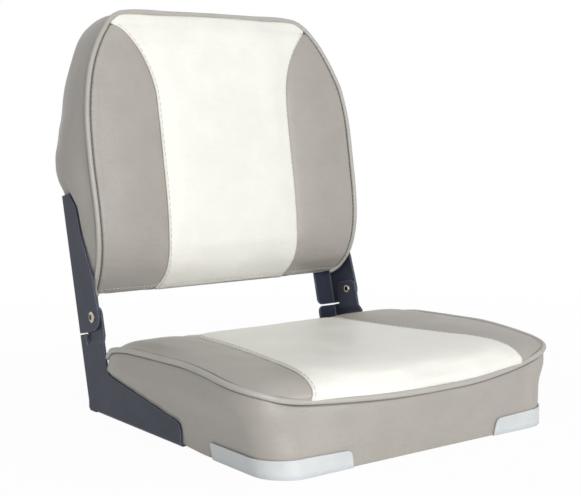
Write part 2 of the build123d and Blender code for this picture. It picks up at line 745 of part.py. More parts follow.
def back_outline(inset, grow_up=0.0, stretch=1.0):
    """Front view of the backrest, stretched where it is drawn on a tilted plane."""
    def place(shares):
        x, z = back_place(shares, inset)
        return (x, (z + grow_up * shares[1]) * stretch)

    bottom = place((back_bottom_share, 0.0))
    corner, side_start = [place(s) for s in back_corner_shares]
    side_mid, side_end = [place(s) for s in back_side_shares]
    shoulder, brow = [place(s) for s in back_shoulder_shares]
    crest, top = [place(s) for s in back_top_shares]
    half_line = ThreePointArc(bottom, corner, side_start) + ThreePointArc(side_start, side_mid, side_end)
    half_line += ThreePointArc(side_end, shoulder, brow) + ThreePointArc(brow, crest, top)
    lines = half_line + mirror(half_line, about=Plane.YZ)
    lines += Line(top, (-top[0], top[1])) + Line(bottom, (-bottom[0], bottom[1]))
    return make_face(lines)


def back_swell(share):
    """Growth of the outline at a station through the boxing: outwards and, for its top, upwards."""
    swell = 1 - share ** 2
    return back_wall_swell * swell - back_wall_draw * (1 + share) / 2, back_top_swell * swell


def back_walls(inset):
    """The side walls of the backrest, from well ahead of its face to behind its rear."""
    tilt = math.radians(back_tilt)
    sections = []
    for share in back_wall_shares:
        grow, rise = back_swell(share)
        y = back_wall_start + back_wall_depth * (1 + share) / 2
        plane = Plane(origin=(0, y, 0), x_dir=(1, 0, 0), z_dir=(0, -math.cos(tilt), math.sin(tilt)))
        sections.append(plane * back_outline(inset - grow, rise, 1 / math.cos(tilt)))
    return loft(sections, ruled=True)


def back_front_point(shares, inset=0.0, swell=0.0):
    """A place on the front of the backrest, as (y, z)."""
    forward = 4 * swell * shares[1] * (1 - shares[1])
    return (rear_y + back_depth * shares[0] + inset - forward,
            back_bottom + inset + (back_height - inset) * shares[1])


def back_front_prism(inset):
    """Everything behind the swollen front of the backrest."""
    back_free = rear_y + far
    high_z = back_bottom + back_height + overrun
    sections = []
    for side, stations in ((-1, reversed(back_stations[1:])), (1, back_stations)):
        for x, swell in stations:
            lines = []
            for shares in (back_roll_shares, back_face_shares, back_brow_shares):
                lines.append(ThreePointArc(*[back_front_point(s, inset, swell) for s in shares]))
            start = back_front_point(back_roll_shares[0], inset, swell)
            brow = back_front_point(back_brow_shares[2], inset, swell)
            outer = lines[0] + lines[1] + lines[2]
            outer += Polyline(brow, (brow[0], high_z), (back_free, high_z), (back_free, start[1]), start)
            sections.append(Pos(side * x, 0, 0) * (Plane.YZ * make_face(outer)))
    return loft(sections, ruled=True)


def back_profile(front_inset, rear_inset):
    """Everything between the front and the rear of the backrest."""
    low_z = back_bottom + front_inset
    high_z = back_bottom + back_height + overrun
    front_y = rear_y - 2 * back_depth
    face_fore = sheet + back_rear_gap + rear_inset
    low_fore = at(face_fore, (low_z - face_fore * lean_sin) / lean_cos)
    bulge_start = at(face_fore, back_bulge_start)
    bulge = at(rear_inset - back_bulge, back_bulge_up)
    bulge_end = at(face_fore + sheet, back_top_up)
    outer = Polyline((low_fore[0], low_z), (front_y, low_z), (front_y, high_z), (bulge_end[0], high_z),
                     bulge_end)
    outer += ThreePointArc(bulge_end, bulge, bulge_start)
    outer += Line(bulge_start, (low_fore[0], low_z))
    return slab(make_face(outer), -bracket_span, bracket_span) & back_front_prism(front_inset)


def back_bracket_pockets(inset):
    """Room for the upper brackets and for the ears of the lower ones."""
    grow = soft_clearance + inset
    web = slab(upper_outline(grow), inner_x - grow, outer_x + overrun)
    flange = block((outer_x - flange_width - grow, -sheet - grow, 0), (far, far, upper_end + grow))
    pocket = lean_frame.location * (web + flange)
    return pocket + mirror(pocket, about=Plane.YZ)


def back_centre_prism():
    """Everything between the two long seams of the backrest, seen from the front."""
    points = [(back_seam_waist * x, back_bottom + back_height * z) for x, z in back_seam_shares]
    low = (back_seam_waist, back_bottom - overrun)
    half_line = Line(low, points[0]) + ThreePointArc(*points[:3]) + Line(points[2], points[3])
    half_line += Line(points[3], points[4])
    lines = half_line + mirror(half_line, about=Plane.YZ)
    lines += Line(low, (-low[0], low[1])) + Line(points[4], (-points[4][0], points[4][1]))
    return extrude(Plane.XZ * make_face(lines), far, both=True)


def back_face_y(z):
    """Depth of the front surface at a height, from the three arcs of the side view."""
    for shares in (back_roll_shares, back_face_shares, back_brow_shares):
        a, b, c = [Vector(*back_front_point(s)) for s in shares]
        if z <= c.Y or shares is back_brow_shares:
            arc = ThreePointArc(a, b, c)
            crossing = arc.intersect(Line((-far, z), (far, z)))
            return min(point.X for point in crossing.vertices()) if crossing else c.X
    return rear_y


def back_piping_path():
    """Open path round the front edge, from one bottom corner over the top to the other."""
    right = []
    for share in back_piping_shares:
        x, z = back_place(share)
        y = back_face_y(z)
        station = 2 * (y - z * math.tan(math.radians(back_tilt)) - back_wall_start) / back_wall_depth - 1
        grow, rise = back_swell(station)
        x, z = back_place(share, -grow)
        if share[1] <= back_corner_shares[1][1]:
            x = min(x, inner_x - piping_radius - soft_clearance)
        right.append((x, y, z + rise * share[1]))
    left = [(-x, y, z) for x, y, z in reversed(right)]
    return bent_path(right + left, False)


def add_backrest():
    outside = back_walls(0)
    inside = back_walls(vinyl)
    pockets = back_bracket_pockets(0)
    inner_pockets = back_bracket_pockets(vinyl)
    full = back_profile(0, 0)
    behind_face = back_profile(vinyl, 0)
    core = back_profile(vinyl, vinyl)
    piping = tube(back_piping_path(), piping_radius)
    face = (outside & (full - behind_face)) - pockets - piping
    centre = back_centre_prism()
    parts["back_cover_centre"] = main_piece(face & centre)
    right_half = block((0, -far, 0), (far, far, far))
    both_sides("back_cover_side", main_piece((face - centre) & right_half))
    shell = outside - pockets
    inner_shell = inside - inner_pockets
    rear_cover = (shell & (behind_face - core)) - piping
    parts["back_cover_boxing"] = main_piece(((shell - inner_shell) & core) - piping)
    board_rear = -sheet - back_rear_gap - vinyl
    board_front = board_rear - board_thickness
    board = lean_frame.location * block((-far, board_front, 0), (far, board_rear, back_top_up))
    board = board & back_walls(board_margin) & core & inner_shell
    foam = (inner_shell & core) - piping - board
    for up in back_screw_places():
        for flip in (False, True):
            hole = back_screw_hole(up, nut_radius)
            clear = back_screw_hole(up, back_screw_radius + hole_clearance)
            if flip:
                hole = mirror(hole, about=Plane.YZ)
                clear = mirror(clear, about=Plane.YZ)
            board -= hole
            rear_cover -= clear
    parts["back_cover_rear"] = main_piece(rear_cover)
    parts["back_board"] = board
    parts["back_foam"] = main_piece(foam)
    parts["back_piping"] = piping - tube(back_piping_path(), cord_radius)
    parts["back_piping_cord"] = tube(back_piping_path(), cord_radius)


add_lower_brackets()
add_upper_brackets()
add_pivots()
add_screws()
add_seat_pan()
add_seat_cushion()
add_staples()
add_corner_protectors()
add_backrest()

os.makedirs("parts", exist_ok=True)
for name, solid in parts.items():
    export_step(solid, "parts/" + name + ".step")
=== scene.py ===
"""Folding boat seat: the photographed finish of its cushions, brackets and fittings.

Lengths are written in millimetres and turned to metres when a mesh is made. +Z is up and the sitter
faces -Y. Left (-X) and right (+X) are as seen from in front of the seat.
"""
import math

import bmesh
import bpy
import numpy as np
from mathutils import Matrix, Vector


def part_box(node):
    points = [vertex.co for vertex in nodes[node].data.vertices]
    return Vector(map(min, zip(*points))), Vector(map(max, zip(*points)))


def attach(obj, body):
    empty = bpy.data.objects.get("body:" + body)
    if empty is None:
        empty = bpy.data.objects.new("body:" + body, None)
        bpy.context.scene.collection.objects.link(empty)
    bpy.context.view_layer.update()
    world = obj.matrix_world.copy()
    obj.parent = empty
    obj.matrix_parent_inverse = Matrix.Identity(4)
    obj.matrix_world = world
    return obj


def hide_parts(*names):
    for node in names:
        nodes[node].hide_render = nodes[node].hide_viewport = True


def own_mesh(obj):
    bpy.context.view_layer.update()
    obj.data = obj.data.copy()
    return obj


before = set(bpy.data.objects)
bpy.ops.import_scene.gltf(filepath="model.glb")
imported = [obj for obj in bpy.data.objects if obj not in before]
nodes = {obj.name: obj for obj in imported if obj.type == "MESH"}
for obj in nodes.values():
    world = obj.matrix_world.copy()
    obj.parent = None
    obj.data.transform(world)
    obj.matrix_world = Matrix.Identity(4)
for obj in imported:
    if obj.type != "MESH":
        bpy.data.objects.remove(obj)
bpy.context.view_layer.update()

mm = 0.001


# Camera
# A long lens, low and to the left of the seat, as in the photograph: 37 degrees round to the seat's left
# and a little above the backrest's middle.
camera_place = (-855.7, -1084.6, 351.3)
camera_turn = (83.65, 0.0, -37.01)      # degrees
camera_lens = 74.82
camera_sensor = 36.0

camera_data = bpy.data.cameras.new("camera")
camera_data.lens = camera_lens
camera_data.sensor_width = camera_sensor
camera_data.sensor_fit = "HORIZONTAL"
camera_data.clip_end = 50
camera = bpy.data.objects.new("camera", camera_data)
camera.location = Vector(camera_place) * mm
camera.rotation_euler = [math.radians(angle) for angle in camera_turn]
bpy.context.scene.collection.objects.link(camera)
bpy.context.scene.camera = camera
bpy.context.scene.view_settings.view_transform = "Standard"


# Floor and backdrop
# A pale studio floor that runs out to a white surround. It keeps the seat's own soft shadow and lights
# nothing more than its white surface would.
floor_size = 12000.0
floor_lift = 0.3                        # gap below the seat, so that the two faces don't flicker
surround_light = 0.34

def linear(hex_colour):
    """An sRGB hex colour as linear RGBA."""
    values = [int(hex_colour[i:i + 2], 16) / 255 for i in (1, 3, 5)]
    return [v / 12.92 if v <= 0.04045 else ((v + 0.055) / 1.055) ** 2.4 for v in values] + [1.0]


def add_node(tree, kind, settings=None, links=None, **values):
    """Adds a shader or geometry node with its settings, its sockets' values and the links into it."""
    node = tree.nodes.new(kind)
    for name, value in (settings or {}).items():
        setattr(node, name, value)
    for name, value in values.items():
        node.inputs[name.replace("_", " ")].default_value = value
    for name, source in (links or {}).items():
        tree.links.new(source, node.inputs[name])
    return node


def new_material(name):
    """An empty node material and its tree."""
    material = bpy.data.materials.new(name)
    material.use_nodes = True
    material.node_tree.nodes.clear()
    return material, material.node_tree


def white_to_the_eye(tree, shade, strength):
    """Mixes a surface with plain white wherever the camera, a mirror or glass looks straight at it."""
    rays = add_node(tree, "ShaderNodeLightPath")
    seen = add_node(tree, "ShaderNodeMath", {"operation": "MAXIMUM"},
                    {0: rays.outputs["Is Camera Ray"], 1: rays.outputs["Is Glossy Ray"]})
    seen = add_node(tree, "ShaderNodeMath", {"operation": "MAXIMUM"},
                    {0: seen.outputs[0], 1: rays.outputs["Is Transmission Ray"]})
    share = add_node(tree, "ShaderNodeMath", {"operation": "MULTIPLY"}, {0: seen.outputs[0]})
    if isinstance(strength, float):
        share.inputs[1].default_value = strength
    else:
        tree.links.new(strength, share.inputs[1])
    white = add_node(tree, "ShaderNodeEmission", Strength=1.0)
    return add_node(tree, "ShaderNodeMixShader", None,
                    {0: share.outputs[0], 1: shade, 2: white.outputs[0]}).outputs[0]


floor_mesh = bpy.data.meshes.new("studio_floor")
reach = floor_size / 2 * mm
corners = [(-reach, -reach, -floor_lift * mm), (reach, -reach, -floor_lift * mm),
           (reach, reach, -floor_lift * mm), (-reach, reach, -floor_lift * mm)]
floor_mesh.from_pydata(corners, [], [(0, 1, 2, 3)])
floor = bpy.data.objects.new("studio_floor", floor_mesh)
bpy.context.scene.collection.objects.link(floor)
floor_paint, tree = new_material("painted studio floor")
matt = add_node(tree, "ShaderNodeBsdfDiffuse", Color=linear("#F4F4F4"))
from_seat = add_node(tree, "ShaderNodeVectorMath", {"operation": "LENGTH"},
                     {0: add_node(tree, "ShaderNodeTexCoord").outputs["Object"]})
shadow_fade = add_node(tree, "ShaderNodeMapRange", None, {"Value": from_seat.outputs["Value"]})
for socket, value in (("From Min", 0.3), ("From Max", 1.2), ("To Min", 0.965), ("To Max", 1.0)):
    shadow_fade.inputs[socket].default_value = value
white_floor = white_to_the_eye(tree, matt.outputs[0], shadow_fade.outputs[0])
add_node(tree, "ShaderNodeOutputMaterial", None, {"Surface": white_floor})
floor_mesh.materials.append(floor_paint)

surround = bpy.data.worlds.new("studio surround")
surround.use_nodes = True
surround.node_tree.nodes.clear()
tree = surround.node_tree
soft_light = add_node(tree, "ShaderNodeBackground", Strength=surround_light)
soft_light.inputs["Color"].default_value = linear("#FFFFFF")
white_surround = white_to_the_eye(tree, soft_light.outputs[0], 1.0)
add_node(tree, "ShaderNodeOutputWorld", None, {"Surface": white_surround})
bpy.context.scene.world = surround


# Studio lamps
# Three large soft boxes: the main one in front, beside and above the camera, and two weak ones on the seat's
# left and overhead.
def add_soft_box(name, place, aim, width, watts):
    """A square area lamp that looks at a point."""
    data = bpy.data.lights.new(name, "AREA")
    data.size = width * mm
    data.energy = watts
    lamp = bpy.data.objects.new(name, data)
    lamp.location = Vector(place) * mm
    lamp.rotation_euler = (Vector(aim) - Vector(place)).to_track_quat("-Z", "Y").to_euler()
    bpy.context.scene.collection.objects.link(lamp)


lamp_aim = (0, 60, 180)
add_soft_box("main_soft_box", (-500, -2350, 620), lamp_aim, 1500, 42)
add_soft_box("fill_soft_box", (-2100, -1100, 350), lamp_aim, 1600, 5.5)
add_soft_box("top_soft_box", (250, -200, 2600), lamp_aim, 1500, 9)


# Seat pan
# The base that carries everything: a ribbed panel injection moulded in black polypropylene, its outside
# finished with the fine texture that hides scratches and flow marks.
pan_colours = ("#1D1E20", "#2B2C2F")
pan_texture_size = 1.4                  # drawn coarser than the real 0.5 mm, so that it shows

def per_metre(size):
    """Scale of a pattern that repeats at a size in millimetres."""
    return 1 / (size * mm)


def pattern(tree, size, stretch=(1, 1, 1), kind="ShaderNodeTexNoise", **values):
    """A texture on Object coordinates with features of a size in millimetres."""
    place = add_node(tree, "ShaderNodeTexCoord").outputs["Object"]
    spread = add_node(tree, "ShaderNodeMapping", None, {"Vector": place}, Scale=stretch)
    return add_node(tree, kind, None, {"Vector": spread.outputs[0]}, Scale=per_metre(size), **values)


def ranged(tree, source, first, last, low, high):
    """Turns a value's range into another one, clamped."""
    node = add_node(tree, "ShaderNodeMapRange", None, {"Value": source})
    for name, value in (("From Min", first), ("From Max", last), ("To Min", low), ("To Max", high)):
        node.inputs[name].default_value = value
    return node.outputs[0]


def blended(tree, share, first, second):
    """Blends two colours, or colour sockets, by a share."""
    node = add_node(tree, "ShaderNodeMix", {"data_type": "RGBA"}, {0: share})
    for number, colour in ((6, first), (7, second)):
        if isinstance(colour, list):
            node.inputs[number].default_value = colour
        else:
            tree.links.new(colour, node.inputs[number])
    return node.outputs[2]


def relief(tree, height, depth, under=None, strength=1.0):
    """A bump of a depth in millimetres, on top of another normal."""
    links = {"Height": height}
    if under is not None:
        links["Normal"] = under
    return add_node(tree, "ShaderNodeBump", None, links, Distance=depth * mm, Strength=strength).outputs[0]


def surfaced(tree, links, **values):
    """Ends a material with a principled shader that takes the links and the constant values."""
    shader = add_node(tree, "ShaderNodeBsdfPrincipled", None, links, **values)
    add_node(tree, "ShaderNodeOutputMaterial", None, {"Surface": shader.outputs[0]})
    return shader


def finished(piece, material):
    """Gives every slot of a piece or a CAD node one material."""
    if not piece.material_slots:
        piece.data.materials.append(material)
    for slot in piece.material_slots:
        slot.material = material


def grained(name, size, detail, colours, roughness, depth, **values):
    """A material whose colour, roughness and relief all follow one fine pattern."""
    material, tree = new_material(name)
    grain = pattern(tree, size, Detail=detail).outputs[0]
    surfaced(tree, {"Base Color": blended(tree, grain, linear(colours[0]), linear(colours[1])),
                    "Roughness": ranged(tree, grain, 0.3, 0.7, *roughness),
                    "Normal": relief(tree, grain, depth)}, **values)
    return material


# Moulded polypropylene: nearly black, satin, with a fine even texture that scatters its highlights
pan_plastic, tree = new_material("moulded polypropylene")
texture = pattern(tree, pan_texture_size, Detail=3.0).outputs[0]
shade = blended(tree, pattern(tree, 45).outputs[0], linear(pan_colours[0]), linear(pan_colours[1]))
surfaced(tree, {"Base Color": shade, "Roughness": ranged(tree, texture, 0.3, 0.7, 0.46, 0.6),
                "Normal": relief(tree, texture, 0.06)}, IOR=1.49)
finished(nodes["seat_pan"], pan_plastic)


# Mounting inserts
# Four brass inserts pressed into the pan from below, for the screws of a swivel or pedestal. They are turned,
# so fine rings run round them.
brass_colours = ("#B08D57", "#CDAE78")

# Turned brass: a warm metal, lightly tarnished, with rings from the lathe 0.3 mm apart
turned_brass, tree = new_material("turned brass")
tarnish = pattern(tree, 3.0, Detail=3.0).outputs[0]
rings = add_node(tree, "ShaderNodeTexWave", {"bands_direction": "Z"},
                 {"Vector": add_node(tree, "ShaderNodeTexCoord").outputs["Object"]}, Scale=per_metre(6))
surfaced(tree, {"Base Color": blended(tree, tarnish, linear(brass_colours[0]), linear(brass_colours[1])),
                "Roughness": ranged(tree, tarnish, 0.3, 0.7, 0.24, 0.42),
                "Normal": relief(tree, rings.outputs[1], 0.02)}, Metallic=1.0)
finished(nodes["seat_mount_inserts"], turned_brass)


# Seat cushion's sewing lines
# The cushion is a foam block under a sewn vinyl cover. The cover's form hangs on four lines: the welt round
# the top, the two long seams beside the white panel, and the folded edge under the base.
half_width = 215.0
rear_end = 146.0
front_end = -204.5
# How far the front of the boxing stands back at the welt, by the distance from the middle
front_stand = [(0, -17), (50, -17), (105, -4.9), (156, 13)]
# From the rear middle round the right side to the front middle
seat_welt_points = [(0, rear_end, 73), (100, rear_end, 73), (165, rear_end, 73), (178, 145, 73),
                    (189.6, 141.4, 71), (198.2, 134.8, 71.6), (203.8, 126.8, 74.6), (208.4, 116, 79.4),
                    (212, 104, 86), (214, 92, 89.3), (half_width, 78, 91.7), (half_width, 68, 93),
                    (half_width, 40, 94.5), (half_width, -10, 96),
                    (half_width, -60, 96.8), (half_width, -95, 94.5), (half_width, -122, 91.5),
                    (213, -141, 89.3), (208, -157, 87), (201, -167, 84.6), (192, -172, 81.6),
                    (180, -174.2, 78), (167, -175.6, 75.2), (155, -177.4, 73.5), (143, -180.4, 72.7),
                    (125, -185.4, 72.1), (100, -191.6, 71.5), (80, -196, 71.1), (60, -200, 71),
                    (40, -203, 71.1), (20, -204.3, 71.2), (0, front_end, 71.2)]
# From the welt at the rear over the top to the welt at the front
seat_seam_points = [(103.5, rear_end, 73), (103.5, 137, 79), (104, 120, 86.5), (105, 96, 90.8),
                    (107.5, 60, 92.6), (112, 14, 94), (119.6, -35, 95), (128.3, -84, 95.9), (137.3, -131, 96),
                    (141.5, -151, 94.8), (144.3, -168, 91), (146.5, -178.5, 84.5), (148.5, -181.5, 78),
                    (150, -178.5, 72.8)]
seat_middle_points = [(0, rear_end, 73), (0, 138, 77.5), (0, 120, 84.8), (0, 95, 89.2), (0, 60, 92),
                      (0, 20, 94.4), (0, -20, 96.2), (0, -70, 98), (0, -120, 98.8), (0, -156, 97.6),
                      (0, -182, 93), (0, -199, 86), (0, -206.5, 79), (0, front_end, 71.2)]
welt_tuck = 2.4                         # the covers meet this far behind the middle of the welt
welt_stand = 2.0                        # the vinyl turns out by this much beside the welt
welt_rise = 1.6                         # and does so within about this distance
base_half_width = 196.0                 # folded edge under the cushion
base_front = -186.0
base_corner = 38.0
base_rear_corner = 24.0
base_z = 2.5
side_welt_rise = 92.5                   # from the folded edge up to the welt, at the sides and at the front
front_welt_rise = 70.5
plan_room = 0.35                        # kept free between the boxing and its outline
guard_room = 0.6                        # the same, further, for the vinyl under the corner protectors
guard_top = 21.0                        # height up to which the boxing follows the corner protectors
hem_steps = [0, 2, 8, 16, 25]           # the cover is folded under the base by this much
hem_sag = 2.2                           # the folded edge hangs lower where no bracket flange lies over it
hem_rise = 16.0                         # and is back up against the pan this far in
seat_panel_rows = 74
row_grading = 0.55                      # how much the rows crowd towards the welt
# Shares of a panel's width from its seam outwards, closest where the vinyl folds
side_shares = [0, 0.012, 0.026, 0.044, 0.07, 0.11, 0.17, 0.24, 0.31, 0.38, 0.45, 0.52, 0.59, 0.66, 0.73, 0.79,
               0.85, 0.9, 0.94, 0.965, 0.982, 1]
centre_shares = [0, 0.011, 0.023, 0.038, 0.058, 0.09, 0.14, 0.19, 0.25, 0.31, 0.37, 0.43, 0.49, 0.55, 0.61,
                 0.67, 0.73, 0.79, 0.85, 0.9, 0.95, 1]
boxing_shares = [0, 0.02, 0.045, 0.08, 0.12, 0.17, 0.22, 0.28, 0.34, 0.4, 0.46, 0.52, 0.58, 0.64, 0.7, 0.76,
                 0.82, 0.87, 0.92, 0.96, 1]


def smooth_line(points, step=1.0, fairing=9):
    """An even polyline, a step apart, along a smooth curve through given points."""
    points = np.array(points, float)
    length = np.maximum(np.linalg.norm(np.diff(points, axis=0), axis=1), 1e-6)
    slope = np.diff(points, axis=0) / length[:, None]
    tangent = np.empty_like(points)
    tangent[0], tangent[-1] = slope[0], slope[-1]
    near, after = length[:-1, None], length[1:, None]
    tangent[1:-1] = (slope[:-1] * after + slope[1:] * near) / (near + after)
    pieces = []
    for k, run in enumerate(length):
        t = np.linspace(0, 1, max(2, int(run / step)), endpoint=False)[:, None]
        pieces.append((2 * t ** 3 - 3 * t ** 2 + 1) * points[k] + (t ** 3 - 2 * t ** 2 + t) * run * tangent[k]
                      + (3 * t ** 2 - 2 * t ** 3) * points[k + 1] + (t ** 3 - t ** 2) * run * tangent[k + 1])
    line = np.vstack(pieces + [points[-1:]])
    line = at_shares(line, np.linspace(0, 1, int(length.sum() / step) + 1))
    for _ in range(fairing):
        line[1:-1] = (line[:-2] + 2 * line[1:-1] + line[2:]) / 4
    return line


def at_shares(line, shares):
    """Points at given shares of a polyline's length."""
    run = np.concatenate([[0], np.cumsum(np.linalg.norm(np.diff(line, axis=0), axis=1))])
    run /= run[-1]
    return np.column_stack([np.interp(shares, run, line[:, axis]) for axis in range(3)])


def nearest(line, place, axes=(0, 1, 2)):
    """Number of the polyline's point that is nearest to a place."""
    axes = list(axes)
    return int(np.argmin(np.linalg.norm(line[:, axes] - np.array(place)[axes], axis=1)))


def tucked_in(line, outward, depth):
    """A line moved inwards by a depth."""
    return line - outward * depth


def crowded(count, grading):
    """Even shares drawn towards both ends."""
    even = np.linspace(0, 1, count)
    return even * (1 - grading) + (1 - np.cos(np.pi * even)) / 2 * grading


def mirrored(points):
    """The same points on the other side of the seat."""
    return points * np.array([-1, 1, 1])


def unit(vectors):
    """Vectors of length one."""
    return vectors / np.maximum(np.linalg.norm(vectors, axis=-1, keepdims=True), 1e-9)


class Skin:
    """A welded mesh of named panels, built from grids that share their edges."""

    def __init__(self):
        self.points = []
        self.numbers = {}
        self.faces = []
        self.panels = []
        self.values = {}

    def add_point(self, point):
        """Number of a point, which is the same for all grids that meet there."""
        key = tuple(np.round(point, 3))
        if key not in self.numbers:
            self.numbers[key] = len(self.points)
            self.points.append(np.array(point, float))
        return self.numbers[key]

    def add_grid(self, panel, grid, flip=False, **values):
        """Adds a grid of points as quads. Each value is a number for each point, and the smallest is kept."""
        rows, columns = grid.shape[:2]
        numbers = np.array([[self.add_point(grid[r, c]) for c in range(columns)] for r in range(rows)])
        for name, value in values.items():
            store = self.values.setdefault(name, {})
            for number, item in zip(numbers.ravel(), np.broadcast_to(value, (rows, columns)).ravel()):
                store[number] = min(item, store.get(number, item))
        for r in range(rows - 1):
            for c in range(columns - 1):
                ring = [numbers[r, c], numbers[r, c + 1], numbers[r + 1, c + 1], numbers[r + 1, c]]
                ring = [int(n) for k, n in enumerate(ring) if n != ring[k - 1]]
                if len(ring) >= 3:
                    self.faces.append(ring[::-1] if flip else ring)
                    self.panels.append(panel)
        return numbers

    def value(self, name, missing=99):
        """One number for each point, and the missing one for points outside the panels that have it."""
        store = self.values.get(name, {})
        return np.array([store.get(number, missing) for number in range(len(self.points))], float)


def surface_normals(points, faces):
    """Average outward direction at each point of a mesh."""
    normals = np.zeros_like(points)
    for ring in faces:
        corner = points[ring]
        across = np.cross(corner[2 % len(ring)] - corner[0], corner[-1] - corner[1])
        for number in ring:
            normals[number] += across
    return unit(normals)


def read_table(table, place):
    """Reads a table of (place, amount) rows at a place, straight between its rows."""
    return np.interp(place, *np.transpose(table))


def rounded_box_distance(x, y, half, front, rear, corner):
    """Distance outside a plan outline with round corners, negative inside."""
    middle = (front + rear) / 2
    over_x = np.abs(x) - (half - corner)
    over_y = np.abs(y - middle) - ((rear - front) / 2 - corner)
    outside = np.hypot(np.maximum(over_x, 0), np.maximum(over_y, 0))
    return outside + np.minimum(np.maximum(over_x, over_y), 0) - corner


def base_half_at(z):
    """Half width of the cushion's leaning sides at a height."""
    return base_half_width + (half_width - base_half_width) * (z - base_z) / side_welt_rise


def stand_back(x):
    """How far the front stands back from a straight line at the welt."""
    return read_table(front_stand, np.abs(x))


def into_plan(points, strength):
    """Moves points onto the boxing's plan outline at their height, by a share of the way."""
    x, y, z = points.T
    ease = plan_room + guard_room * np.clip((guard_top + 2 - z) / 4, 0, 1) * (y < 0)
    bow = stand_back(x) * np.clip((z - base_z) / front_welt_rise, 0, 1)
    half = base_half_at(z)
    front_shift = np.where(y < 0, bow, 0)
    corner = np.where(y < 0, base_corner, base_rear_corner)

    def off_outline(x, y):
        """Distance outside the boxing's outline at each point's height."""
        return rounded_box_distance(x, y - front_shift, half, base_front, rear_end, corner) + ease

    for _ in range(4):
        distance = off_outline(points[:, 0], points[:, 1])
        slope_x = off_outline(points[:, 0] + 0.1, points[:, 1]) - distance
        slope_y = off_outline(points[:, 0], points[:, 1] + 0.1) - distance
        away = unit(np.column_stack([slope_x, slope_y]))
        points[:, :2] -= away * (distance * strength)[:, None]
    return points


seat_welt = smooth_line(seat_welt_points)
along = np.gradient(seat_welt, axis=0)
level = unit(np.column_stack([-along[:, 1], along[:, 0], np.zeros(len(along))]))
level *= np.sign((level * seat_welt).sum(1))[:, None]
seat_welt_out = unit(level * 0.92 + np.array([0, 0, 0.4]))
seat_edge = tucked_in(seat_welt, seat_welt_out, welt_tuck)
seat_edge[[0, -1], 0] = 0

seam_rear = nearest(seat_edge, seat_seam_points[0])
seam_front = nearest(seat_edge, seat_seam_points[-1])
corner_rear = nearest(seat_edge, (202, 132, 0), (0, 1))
corner_front = nearest(seat_edge, (202, -165, 0), (0, 1))
seat_seam = smooth_line([seat_edge[seam_rear]] + seat_seam_points[1:-1] + [seat_edge[seam_front]], fairing=4)
seat_middle = smooth_line([seat_edge[0]] + seat_middle_points[1:-1] + [seat_edge[-1]], fairing=4)

row_shares = crowded(seat_panel_rows, row_grading)
side_shares = np.array(side_shares)
centre_shares = np.array(centre_shares)
seam_line = at_shares(seat_seam, row_shares)
middle_line = at_shares(seat_middle, row_shares)
side_line = at_shares(seat_edge[corner_rear:corner_front + 1], row_shares)
rear_side = at_shares(seat_edge[seam_rear:corner_rear + 1], side_shares)
front_side = at_shares(seat_edge[corner_front:seam_front + 1][::-1], side_shares)
rear_centre = at_shares(seat_edge[:seam_rear + 1][::-1], centre_shares)
front_centre = at_shares(seat_edge[seam_front:], centre_shares)


def filled_patch(inner, outer, first, last, across_shares, along_shares):
    """A smooth surface between four edges that meet at its corners, as rows of points."""
    v = np.array(along_shares)[:, None, None]
    u = np.array(across_shares)[None, :, None]
    blend = (1 - u) * inner[:, None] + u * outer[:, None] + (1 - v) * first[None] + v * last[None]
    blend -= (1 - u) * (1 - v) * first[0] + u * (1 - v) * first[-1] + (1 - u) * v * last[0] + u * v * last[-1]
    return blend


def row_runs(grid):
    """Distance of each point of a grid from its first and from its last column."""
    step = np.linalg.norm(np.diff(grid, axis=1), axis=2)
    run = np.concatenate([np.zeros((len(grid), 1)), np.cumsum(step, axis=1)], axis=1)
    return run, run[:, -1:] - run


def column_runs(grid):
    """Distance of each point of a grid from its first and from its last row."""
    first, last = row_runs(grid.transpose(1, 0, 2))
    return first.T, last.T


def off_the_welt(below):
    """How far the boxing stands out as it leaves the welt, which fades towards its other edge."""
    return welt_stand * (1 - np.exp(-below / welt_rise)) * (1 - boxing_shares[:, None])


boxing_shares = np.array(boxing_shares)
side_grid = filled_patch(seam_line, side_line, rear_side, front_side, side_shares, row_shares)
straight = filled_patch(seam_line, middle_line, rear_centre, front_centre, centre_shares, row_shares)
curved = middle_line[:, None] + (seam_line - middle_line)[:, None] * (1 - centre_shares)[None, :, None] ** 2
curved[:, :, 0] = straight[:, :, 0]
edge_hold = 40.0                        # the panel keeps to its edges' form this far in
hold = np.minimum(1, np.minimum(*column_runs(straight)) / edge_hold)[:, :, None]
centre_grid = straight * (1 - hold) + curved * hold

seat_skin = Skin()
side_crown = 3.0
crown_reach = 30.0                      # the crown reaches its height this far inside the panel
from_seam, from_side = row_runs(side_grid)
from_welt = np.minimum(from_side, np.minimum(*column_runs(side_grid)))
side_grid[:, :, 2] += (side_crown * np.clip(from_welt / crown_reach, 0, 1)
                       * np.clip(from_seam / crown_reach, 0, 1))
centre_from_seam = row_runs(centre_grid)[0]
centre_from_welt = np.minimum(*column_runs(centre_grid))

